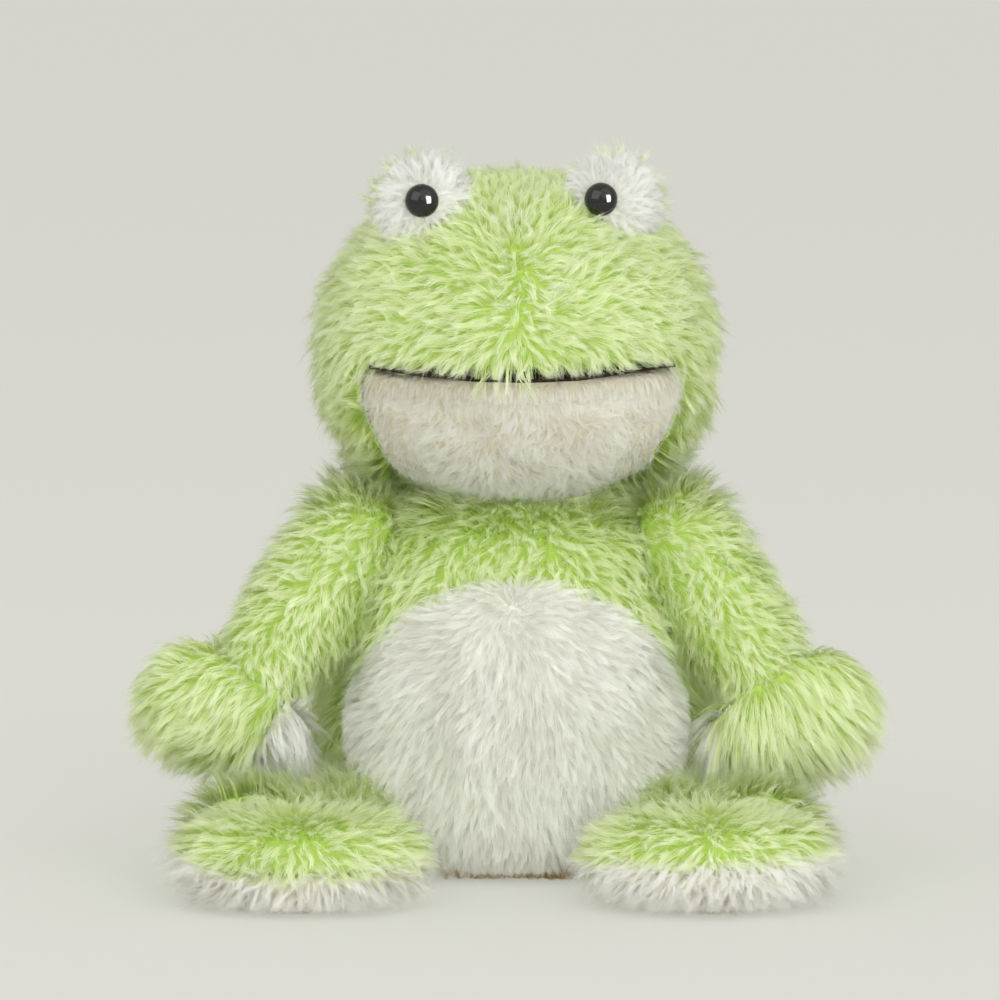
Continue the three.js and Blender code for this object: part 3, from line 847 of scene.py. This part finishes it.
def set_lamps():
    """A soft sky, softboxes, and a window that lights nothing and only shows as a glint."""
    add_lamp("soft_sky", "SUN", (0.35, -0.65, 0.82), SKY_POWER, angle=math.radians(70))
    for name, (place, width, watts) in SOFTBOXES.items():
        lamp = add_lamp(name, "AREA", place, watts, shape="SQUARE", size=width)
        lamp.visible_glossy = name != "front_fill"  # which would add a glint to each eye
    window = add_lamp("window", "AREA", (1.0, -1.5, 0.75), 90, shape="RECTANGLE", size=0.9, size_y=1.2)
    window.visible_diffuse = False
    window.visible_transmission = False


def add_lamp(name, kind, place, power, **settings):
    """A lamp that faces the toy."""
    lamp = bpy.data.lights.new(name, kind)
    lamp.energy = power
    lamp.color = linear("#FFFEFB")[:3]
    for key, value in settings.items():
        setattr(lamp, key, value)
    holder = bpy.data.objects.new(name, lamp)
    holder.location = place
    holder.rotation_euler = (Vector(LAMP_AIM) - Vector(place)).to_track_quat("-Z", "Y").to_euler()
    bpy.context.scene.collection.objects.link(holder)
    return holder


def aimed_camera(stage):
    """A long lens that looks slightly down at the toy."""
    lens = bpy.data.cameras.new("camera")
    lens.sensor_width = 36
    lens.lens = lens.sensor_width * stage.distance / stage.view_width
    camera = bpy.data.objects.new("camera", lens)
    away = Vector((0, -math.cos(stage.elevation), math.sin(stage.elevation))) * stage.distance
    camera.location = Vector(CAMERA_AIM) + away
    camera.rotation_euler = (-away).to_track_quat("-Z", "Y").to_euler()
    bpy.context.scene.collection.objects.link(camera)
    return camera


def seen_sharply(tree):
    """1 for rays that show a thing as it is: the camera's, mirrored ones and those through glass."""
    rays = add_node(tree, "LightPath").outputs
    mirrored = add_node(
        tree, "Math", [(0, rays["Is Camera Ray"]), (1, rays["Is Glossy Ray"])], operation="MAXIMUM",
    )
    sharp = add_node(
        tree, "Math", [(0, mirrored.outputs[0]), (1, rays["Is Transmission Ray"])], operation="MAXIMUM",
    )
    return sharp.outputs[0]


def paper_material(colour):
    """Seamless matt paper: it takes soft shadows, and shows as pale as it is printed."""
    material, tree = new_material("seamless_paper")
    place = add_node(tree, "TexCoord").outputs["Object"]
    # Painted light: the paper is painted lighter from front to back
    back = add_node(tree, "SeparateXYZ", [("Vector", place)]).outputs["Y"]
    fade = add_node(tree, "MapRange", [("Value", back)], From_Min=-0.3, From_Max=0.5)
    tone = add_node(
        tree, "Mix", [("Factor", fade.outputs[0])], data_type="RGBA", A=colour, B=linear("#D2D2CB"),
    )
    matt = add_node(
        tree, "BsdfPrincipled", [("Base Color", tone.outputs["Result"])],
        Roughness=0.9, Specular_IOR_Level=0.0,
    )
    pale = add_node(tree, "Emission", Color=linear("#E4E4DB"), Strength=1.0)
    seen = add_node(tree, "MixShader", [(1, matt.outputs[0]), (2, pale.outputs[0])], Fac=0.45)
    lit = add_node(tree, "BsdfDiffuse", Color=linear("#EEEEE6"))
    both = add_node(tree, "MixShader", [(0, seen_sharply(tree)), (1, lit.outputs[0]), (2, seen.outputs[0])])
    add_node(tree, "OutputMaterial", [("Surface", both.outputs[0])])
    return material


def floor_disc():
    """A wide round floor under the toy."""
    rim = np.arange(FLOOR_CORNERS) / FLOOR_CORNERS * 2 * math.pi
    points = np.stack([np.cos(rim), np.sin(rim), np.zeros(FLOOR_CORNERS)], axis=1) * FLOOR_RADIUS
    return points, np.arange(FLOOR_CORNERS)[None, :]


# Torso

class FROG_OT_torso(bpy.types.Operator):
    """Sews the green body"""
    bl_idname = "frog.torso"
    bl_label = "Torso"

    def execute(self, context):
        sew_cover("torso", materials("green_knit"))
        grow_pile(
            "torso_pile", "torso", "green_pile", look(), down_and_out, 11,
            stand=lambda p: 0.6 * above(p, 148, 166), trim=torso_trim, shade=torso_shade,
        )
        return {"FINISHED"}


def down_and_out(points, normals):
    """Down the body, and away from its middle the more the wider it is there."""
    return np.stack([points[:, 0] * 5, np.zeros(len(points)), np.full(len(points), -1.0)], axis=1)


def torso_trim(points):
    """Longer round the neck and on the lower flanks."""
    return 1 + 0.5 * above(points, 150, 164) + 0.4 * (beside(points, 66, 78) * below(points, 95, 75))


def torso_shade(points):
    """Painted shade: deeper green on the flanks and round the neck, where shade falls; a little deeper all
    over.
    """
    return -0.12 - 0.4 * above(points, 148, 162) - 0.3 * beside(points, 62, 74)


# Belly

BELLY_WHORL = (3 * MM, -20 * MM, 122 * MM)
HEM_TOP = 6 * MM
HEM_HEIGHT = 3.2 * MM
PANEL_EDGE = 1.03  # how far tufts reach, in the panel's half widths


class FROG_OT_belly(bpy.types.Operator):
    """Sews the white belly, whose pile fans down and out from a whorl near its top"""
    bl_idname = "frog.belly"
    bl_label = "Belly"

    def execute(self, context):
        sew_cover("belly_panel", materials("white_knit"))
        pile = look(
            length=10 * MM, tuft=2.3 * MM, per_mm2=3.2, width=0.2 * MM,
            stray=math.radians(14), sway=math.radians(12),
        )
        grow_pile(
            "belly_pile", "belly_panel", "belly_pile", pile, from_point(BELLY_WHORL, (0, 0, -0.15)), 23,
            settle=within_panel,
            stand=lambda p: 0.6 * around(p, BELLY_WHORL, 4, 16),
            # Painted light: paler low on the belly, against the shade that falls there
            shade=lambda p: 0.55 * below(p, 70, 20),
        )
        grow_hem("belly_panel", 97)
        return {"FINISHED"}


def within_panel(tips, roots):
    """The belly's tufts end near the panel's oval seam."""
    low, high = (np.array(corner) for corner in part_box("belly_panel"))
    middle, half = (low + high) / 2, (high - low) / 2
    across = (tips - middle)[:, [0, 2]] / half[[0, 2]]
    past = np.maximum(np.linalg.norm(across, axis=1), PANEL_EDGE) / PANEL_EDGE
    drawn = middle + (tips - middle) / past[:, None]
    settled = tips.copy()
    settled[:, 0] = drawn[:, 0]
    settled[:, 2] = np.where(tips[:, 2] > middle[2], drawn[:, 2], tips[:, 2])
    settled[:, 2] = np.maximum(settled[:, 2], HEM_HEIGHT)
    return settled


def grow_hem(node, seed):
    """The lowest strands of a white piece, painted ochre for the warm shadow and bounced light at the table.
    """
    def in_hem(points):
        climb = (points[:, 0] / (50 * MM)) ** 2 * 14 * MM
        return points[:, 2] < HEM_TOP + climb * (node == "belly_panel")

    pile = look(length=8 * MM, tuft=2 * MM, per_mm2=5, lean=math.radians(40), width=0.2 * MM, loose=0.6)
    grow_pile(node + "_hem", node, "hem_painted_shadow_pile", pile, hem_flow, seed, where=in_hem)


def hem_flow(points, normals):
    """Down to the table, outwards and a little forwards."""
    count = len(points)
    return np.stack([points[:, 0] * 12, np.full(count, -0.4), np.full(count, -1.0)], axis=1)


# Head

PARTING = (236 * MM, 284 * MM)
LOCK_MIDDLE = -2 * MM  # a lock hangs over the middle of the mouth


class FROG_OT_head(bpy.types.Operator):
    """Sews the green head, whose pile parts at the middle of the muzzle"""
    bl_idname = "frog.head"
    bl_label = "Head"

    def execute(self, context):
        sew_cover("head", materials("green_knit"))
        grow_pile(
            "head_pile", "head", "green_pile", look(), muzzle_flow, 37, settle=clear_of_mouth,
            stand=stands_at_parting, trim=head_trim, shade=head_shade,
        )
        for side in SIDES:
            mound = side + "_eye_mound"
            sew_cover(mound, materials("green_knit"))
            pile = look(length=12 * MM, lean=math.radians(48), loose=0.8, per_mm2=3.5, uneven=0.1)
            grow_pile(
                mound + "_pile", mound, "green_pile", pile, from_point(middle_of(side + "_eye")), 41,
                shade=lambda p: 0.4,
            )
        return {"FINISHED"}


def under_chin(points):
    """1 under the chin, where the head's pile meets the neck."""
    return below(points, 206, 186)


def muzzle_flow(points, normals):
    """Away from a parting that runs up the middle of the muzzle, and down at the back."""
    count = len(points)
    height = np.clip(points[:, 2], *PARTING)
    source = np.stack([np.full(count, MIDDLE), np.full(count, -40 * MM), height], axis=1)
    away = unit(points - source)
    away[:, 2] -= np.clip((points[:, 1] + 20 * MM) / (60 * MM), 0, 1.2) * 0.9
    away[:, 2] -= 0.18 + 0.7 * (1 - beside(points, 1, 12))
    near_mouth = (1 - above(points, 238, 252)) * (points[:, 2] > 230 * MM)
    away[:, 0] *= 1 - 0.6 * near_mouth
    away[:, 2] -= 0.8 * near_mouth
    under = under_chin(points)[:, None]
    out = unit(points * [1, 1, 0] - [MIDDLE, 36 * MM, 0]) - [0, 0, 0.4]
    return away * (1 - under) + out * under


def stands_at_parting(points):
    """Pile stands up along the parting of the muzzle, and under the chin."""
    front = (points[:, 1] < 0) * above(points, 246, 262)
    return np.maximum(0.45 * (1 - beside(points, 1, 10)) * front, 0.5 * under_chin(points))


def head_shade(points):
    """Painted light and shade: paler on the lit crown and along the shaded parting, deeper low down and under
    the chin.
    """
    parting = (1 - beside(points, 1, 9)) * (points[:, 1] < 0)
    return 0.15 * above(points, 285, 305) + 0.3 * parting - 0.4 * below(points, 240, 200)


def head_trim(points):
    """Shorter on the crown, longer round the neck and over the middle of the mouth."""
    lock = (1 - beside(points, 10, 18, LOCK_MIDDLE)) * (points[:, 1] < 0)
    low = below(points, 247, 240) * (points[:, 2] > 230 * MM)
    return 1 - 0.25 * above(points, 292, 308) + 0.4 * below(points, 202, 186) + 0.5 * lock * low


def clear_of_mouth(tips, roots):
    """Tufts over the mouth stay above its felt, but for the lock in the middle."""
    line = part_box("mouth_felt")[1][2] - 0.9 * MM
    line = line + mouth_sag(tips)
    in_front = tips[:, 1] < 10 * MM
    off_lock = np.abs(tips[:, 0] - LOCK_MIDDLE) > 17 * MM
    over_felt = np.abs(tips[:, 0] - 7.5 * MM) < 68 * MM
    lifted = tips.copy()
    lifted[:, 2] = np.where(in_front & off_lock & over_felt & (tips[:, 2] < line), line, tips[:, 2])
    return lifted


def mouth_sag(points):
    """The mouth line's height over its level: down in the middle and up at the ends."""
    return 1 * MM - 3.6 * MM * (1 - beside(points, 4, 74, MOUTH_MIDDLE))


# Jaw and mouth

JAW_BAND = 12 * MM
FELT_SHARE = 0.42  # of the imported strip's height shows between the piles


class FROG_OT_jaw(bpy.types.Operator):
    """Sews the cream jaw and the felt mouth line"""
    bl_idname = "frog.jaw"
    bl_label = "Jaw and mouth"

    def execute(self, context):
        sew_cover("jaw_panel", materials("cream_knit"))
        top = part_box("jaw_panel")[1][2]
        band = look(
            length=6.5 * MM, tuft=1.3 * MM, lean=math.radians(66), stray=math.radians(6), uneven=0.3,
            sway=math.radians(6), loose=0.75, per_mm2=6.5, width=0.15 * MM, curl=0.3 * MM, mottle=0.22,
        )
        grow_pile(
            "jaw_band_pile", "jaw_panel", "cream_pile", band, steady((0, 0, -1)), 51, where=in_jaw_band,
            # Painted light and shade: darker to the left and paler to the right, where the light comes from
            shade=lambda p: -0.3 + 0.5 * rising(p[:, 0], -10 * MM, 55 * MM),
        )
        chin = look(
            length=8 * MM, tuft=1.6 * MM, lean=math.radians(50), sway=math.radians(55), sway_length=26 * MM,
            stray=math.radians(40), per_mm2=5.5, width=0.15 * MM, mottle=0.2, curl=1.4 * MM, loose=0.65,
            droop=-0.05,
        )
        grow_pile(
            "jaw_pile", "jaw_panel", "cream_pile", chin, jaw_flow, 53,
            where=lambda p: p[:, 2] < top - JAW_BAND * 0.85,
            trim=lambda p: 1 - 0.45 * at_sides(p),
            # Painted light: paler under the chin, against its shade, and to the right, where the light comes
            # from
            shade=lambda p: 0.8 * below(p, 212, 184) + 0.3 * rising(p[:, 0], 0, 50 * MM),
        )
        lay_mouth_line()
        return {"FINISHED"}


def in_jaw_band(points):
    """Just under the mouth line, and up to the seam at the back."""
    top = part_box("jaw_panel")[1][2]
    under_line = (points[:, 2] < top + mouth_sag(points)) | (points[:, 1] > 8 * MM)
    return (points[:, 2] > top - JAW_BAND) & under_line


def jaw_flow(points, normals):
    """Outwards from the middle of the jaw, and down its side seams."""
    sides = at_sides(points)
    return np.stack([points[:, 0] * 22 * (1 - 0.9 * sides), -0.5 * sides, np.full(len(points), -0.7)], axis=1)


def at_sides(points):
    """1 at the jaw's side seams, and 0 in its middle."""
    reach = np.interp(points[:, 2], [176 * MM, 230 * MM], [40 * MM, 70 * MM])
    return rising(np.abs(points[:, 0] - MOUTH_MIDDLE) / reach, 0.6, 0.9)


def lay_mouth_line():
    """The part of the felt strip that shows: a thin line that sags, with an uneven cut edge."""
    points, faces = packed("mouth_felt")
    height = points[:, 2].mean()
    taper = 1 - 0.4 * beside(points, 40, 68, MOUTH_MIDDLE)
    points[:, 2] = height + (points[:, 2] - height) * FELT_SHARE * taper
    points = points + waves(points, 6 * MM, 57)[:, None] * [0, 0, 0.35 * MM]
    points[:, 2] += mouth_sag(points)
    felt = link("mouth_line", mesh_from("mouth_line", points, faces, smooth=False), materials("felt"))
    stand_in(felt, "mouth_felt")


# Eyes

EYE_GAP = 7.3 * MM
EYE_RIM = 1.2 * MM
EYE_TURNS = 20
EYE_CORNERS = 64


class FROG_OT_eyes(bpy.types.Operator):
    """Sews the white eye patches and presses in the glossy eyes"""
    bl_idname = "frog.eyes"
    bl_label = "Eyes"

    def execute(self, context):
        for side in SIDES:
            sew_patch(side)
            make_eye(side)
            finish_as(side + "_eye_washer", "washer")
        return {"FINISHED"}


def sew_patch(side):
    """A white eye patch, whose pile fans out from the eye."""
    def off_eye(points):
        return np.linalg.norm(off_axis(points, side)[1], axis=1)

    patch = side + "_eye_patch"
    sew_cover(patch, materials("white_knit"))
    pile = look(
        length=8.5 * MM, tuft=1.9 * MM, lean=math.radians(44), stray=math.radians(34), per_mm2=5.0,
        width=0.18 * MM, loose=0.65,
    )
    grow_pile(
        patch + "_pile", patch, "white_pile", pile, from_point(middle_of(side + "_eye")), 61,
        guard=clear_of_eye(side),
        where=lambda p: off_eye(p) > 6 * MM,
        trim=lambda p: 1 - 0.35 * rising(off_eye(p), 13 * MM, 20 * MM),
    )


def eye_axis(side):
    """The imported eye's points, and its axis out of the face."""
    points, _ = packed(side + "_eye")
    points = np.unique(points.round(7), axis=0)
    spread, ways = np.linalg.eigh(np.cov((points - points.mean(axis=0)).T))
    odd = 0 if spread[1] - spread[0] > spread[2] - spread[1] else 2
    axis = ways[:, odd]
    return points, (axis if axis[1] < 0 else -axis)


def off_axis(points, side):
    """How far points are in front of an eye's middle, and their offsets from its axis."""
    solid, axis = eye_axis(side)
    away = points - solid.mean(axis=0)
    height = away @ axis
    return height, away - height[:, None] * axis


def clear_of_eye(side):
    """Keeps strands beside an eye, at most a little over its rim."""
    def guard(points):
        height, offset = off_axis(points, side)
        gap = np.maximum(np.linalg.norm(offset, axis=1), 1e-6)
        push = np.where((gap < EYE_GAP) & (height > -EYE_GAP), EYE_GAP / gap - 1, 0)
        return points + offset * push[:, None]
    return guard


def make_eye(side):
    """A turned dome with a straight rim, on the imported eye's axis."""
    node = side + "_eye"
    points, axis = eye_axis(side)
    centre = points.mean(axis=0)
    heights = (points - centre) @ axis
    radii = np.linalg.norm(points - centre - heights[:, None] * axis, axis=1)
    radius, front, back = radii.max(), heights.max(), heights.min()
    seat = heights[radii > radius * 0.97].min()
    stem = radii[heights < back + 0.1 * MM].max()
    dome = front - seat - EYE_RIM
    outline = [(0, back), (stem, back), (stem, seat), (radius * 0.97, seat), (radius, seat + 0.2 * MM)]
    for i in range(EYE_TURNS + 1):
        angle = i / EYE_TURNS * math.pi / 2
        outline.append((radius * math.cos(angle), seat + EYE_RIM + dome * math.sin(angle)))
    across = unit(np.cross(axis, [0, 0, 1.0]))
    upwards = np.cross(across, axis)
    rings = np.array([
        centre + axis * h + (across * math.cos(t) + upwards * math.sin(t)) * r
        for r, h in outline for t in np.arange(EYE_CORNERS) / EYE_CORNERS * 2 * math.pi
    ])
    faces = []
    for ring in range(len(outline) - 1):
        here, there = ring * EYE_CORNERS, (ring + 1) * EYE_CORNERS
        for i in range(EYE_CORNERS):
            after = (i + 1) % EYE_CORNERS
            faces.append((here + i, here + after, there + after, there + i))
    piece = link(node + "_dome", mesh_from(node + "_dome", rings, np.array(faces)), materials("eye"))
    stand_in(piece, node)


# Arms

PALM_LENGTHS = {"left": 12.5 * MM, "right": 16 * MM}
PAW_DROOPS = {"left": 0.25, "right": 0.6}
WRIST_WHORLS = {"left": (-98 * MM, -14 * MM, 92 * MM), "right": (104 * MM, -14 * MM, 94 * MM)}


class FROG_OT_arms(bpy.types.Operator):
    """Sews the arms, with their paws and white palms"""
    bl_idname = "frog.arms"
    bl_label = "Arms and paws"

    def execute(self, context):
        for side, sign in SIDES.items():
            sew_arm(side, sign)
        return {"FINISHED"}


def sew_arm(side, sign):
    """An arm, its paw and its palm, whose pile fans from a whorl at the wrist."""
    arm, paw, palm = side + "_arm", side + "_paw", side + "_palm"
    sew_cover(arm, materials("green_knit"))
    grow_pile(
        arm + "_pile", arm, "green_pile", look(), steady((sign * 0.75, -0.1, -0.7)), 71,
        stand=lambda p: 0.8 * above(p, 158, 170),
        trim=lambda p: 1 + 0.3 * above(p, 158, 170),
        # Painted shade: deeper green on the inner side, towards the body
        shade=lambda p: -0.6 * rising(arm_middle(p) - np.abs(p[:, 0] - MIDDLE), 2 * MM, 14 * MM),
    )
    whorl = WRIST_WHORLS[side]
    fan = from_point(whorl, (0, 0, -0.12))
    sew_cover(paw, materials("green_knit"))
    back = look(length=12.5 * MM, stray=math.radians(18), droop=PAW_DROOPS[side])
    grow_pile(paw + "_pile", paw, "green_pile", back, fan, 73, stand=lambda p: 0.6 * around(p, whorl, 8, 24))
    sew_cover(palm, materials("white_knit"))
    if side == "right":
        overhang = look(length=15 * MM, stray=math.radians(18), droop=0.5)
        grow_pile(
            palm + "_overhang", palm, "green_pile", overhang, fan, 77, slot="green_pile",
            where=lambda p: (p[:, 0] > 94 * MM) & (p[:, 1] < 0),
        )
    inner = look(
        length=PALM_LENGTHS[side], tuft=2.2 * MM, lean=math.radians(38), per_mm2=4.0, width=0.2 * MM,
        droop=0.7,
    )
    grow_pile(
        palm + "_pile", palm, "white_pile", inner, steady((-sign * 0.5, -0.5, -0.6)), 75,
        where=lambda p: (p[:, 0] < 97 * MM) | (p[:, 1] > -3 * MM),
    )


def arm_middle(points):
    """How far an arm's middle line is from the toy's, at each height."""
    return np.interp(points[:, 2], [100 * MM, 152 * MM], [107 * MM, 72 * MM])


# Legs

FOOT_WHORLS = {"left": (-93 * MM, -82 * MM, 30 * MM), "right": (90 * MM, -82 * MM, 32 * MM)}
# Places along X and heights in millimetres, where the green gives way to the sole's white fringe
FRINGE_TOPS = {
    "left": [(-148, 29), (-125, 20), (-95, 13), (-45, 12)],
    "right": [(35, 22), (60, 25), (110, 26), (145, 25)],
}
FRINGE_LAP = 1 * MM
FRINGE_FRONT = -118 * MM


class FROG_OT_legs(bpy.types.Operator):
    """Sews the legs, and the feet with their white soles"""
    bl_idname = "frog.legs"
    bl_label = "Legs and feet"

    def execute(self, context):
        for side, sign in SIDES.items():
            sew_leg(side, sign)
        return {"FINISHED"}


def sew_leg(side, sign):
    """A leg, its foot with a whorl on top and white fringe low down, and its sole."""
    leg, foot, sole = side + "_leg", side + "_foot", side + "_sole"
    sew_cover(leg, materials("green_knit"))
    calf = look(length=15 * MM, lean=math.radians(30), tuft=2 * MM, curl=1.6 * MM, per_mm2=3.2)
    along = steady((sign * 0.5, -0.6, -0.45))
    # Painted shade: a little deeper green, for the shade under the paw
    grow_pile(leg + "_pile", leg, "green_pile", calf, along, 81, shade=lambda p: -0.1)

    whorl = FOOT_WHORLS[side]
    border = fringe_top(side)
    sew_cover(foot, materials("green_knit"))
    grow_pile(
        foot + "_pile", foot, "green_pile", look(), from_point(whorl, (0, 0, -0.35)), 83,
        settle=above_sole(border),
        where=lambda p: p[:, 2] > border(p) - FRINGE_LAP,
        # Painted light and shade: paler all over against the shade low down, more so on the right, and deeper
        # at the whorl
        shade=lambda p: 0.33 + 0.15 * sign - 0.65 * around(p, whorl, 6, 22, (0.6, 1, 1)),
    )
    fringe = look(
        length=12 * MM, tuft=1.8 * MM, stray=math.radians(34), sway=math.radians(26), width=0.15 * MM,
        curl=1.7 * MM, loose=0.75, per_mm2=6.5, lean=math.radians(48),
    )
    hanging = from_point(whorl, (0, 0, -0.9))
    grow_pile(
        foot + "_fringe", foot, "sole_pile", fringe, hanging, 87, slot="white_pile", settle=above_hem,
        where=lambda p: p[:, 2] < border(p) + FRINGE_LAP,
    )
    sew_cover(sole, materials("white_knit"))
    grow_pile(sole + "_pile", sole, "sole_pile", fringe, hanging, 85, settle=above_hem)
    grow_hem(sole, 89)


def fringe_top(side):
    """The height of a foot's white fringe, along X."""
    along, heights = np.array(FRINGE_TOPS[side]).T * MM
    return lambda points: np.interp(points[:, 0], along, heights)


def above_hem(tips, roots):
    """The fringe's tufts end a little over the table, and not far in front of the feet."""
    raised = tips.copy()
    raised[:, 1] = np.maximum(tips[:, 1], FRINGE_FRONT)
    raised[:, 2] = np.maximum(tips[:, 2], HEM_HEIGHT * 0.8)
    return raised


def above_sole(border):
    """A foot's green tufts end at its fringe."""
    def settle(tips, roots):
        raised = tips.copy()
        raised[:, 2] = np.maximum(tips[:, 2], border(tips) - FRINGE_LAP)
        return raised
    return settle


# Filling

class FROG_OT_stuffing(bpy.types.Operator):
    """Gives the grain pouch its calico finish"""
    bl_idname = "frog.stuffing"
    bl_label = "Grain pouch"

    def execute(self, context):
        finish_as("grain_pouch", "calico")
        return {"FINISHED"}


OPERATORS = [
    FROG_OT_stage, FROG_OT_torso, FROG_OT_belly, FROG_OT_head, FROG_OT_jaw, FROG_OT_eyes,
    FROG_OT_arms, FROG_OT_legs, FROG_OT_stuffing,
]


class FROG_PT_panel(bpy.types.Panel):
    """Lists the stage and the frog's pieces"""
    bl_idname = "FROG_PT_panel"
    bl_label = "Plush Frog"
    bl_space_type = "VIEW_3D"
    bl_region_type = "UI"
    bl_category = "Plush Frog"

    def draw(self, context):
        for operator in OPERATORS:
            self.layout.operator(operator.bl_idname)


CLASSES = [FROG_PG_pile, FROG_PG_eyes, FROG_PG_stage, *OPERATORS, FROG_PT_panel]


def register():
    for cls in CLASSES:
        bpy.utils.register_class(cls)
    bpy.types.Scene.frog_pile = bpy.props.PointerProperty(type=FROG_PG_pile)
    bpy.types.Scene.frog_eyes = bpy.props.PointerProperty(type=FROG_PG_eyes)
    bpy.types.Scene.frog_stage = bpy.props.PointerProperty(type=FROG_PG_stage)


def unregister():
    del bpy.types.Scene.frog_stage
    del bpy.types.Scene.frog_eyes
    del bpy.types.Scene.frog_pile
    for cls in reversed(CLASSES):
        bpy.utils.unregister_class(cls)


def main():
    register()
    for operator in OPERATORS:
        group, name = operator.bl_idname.split(".")
        getattr(getattr(bpy.ops, group), name)()


if __name__ == "__main__":
    main()
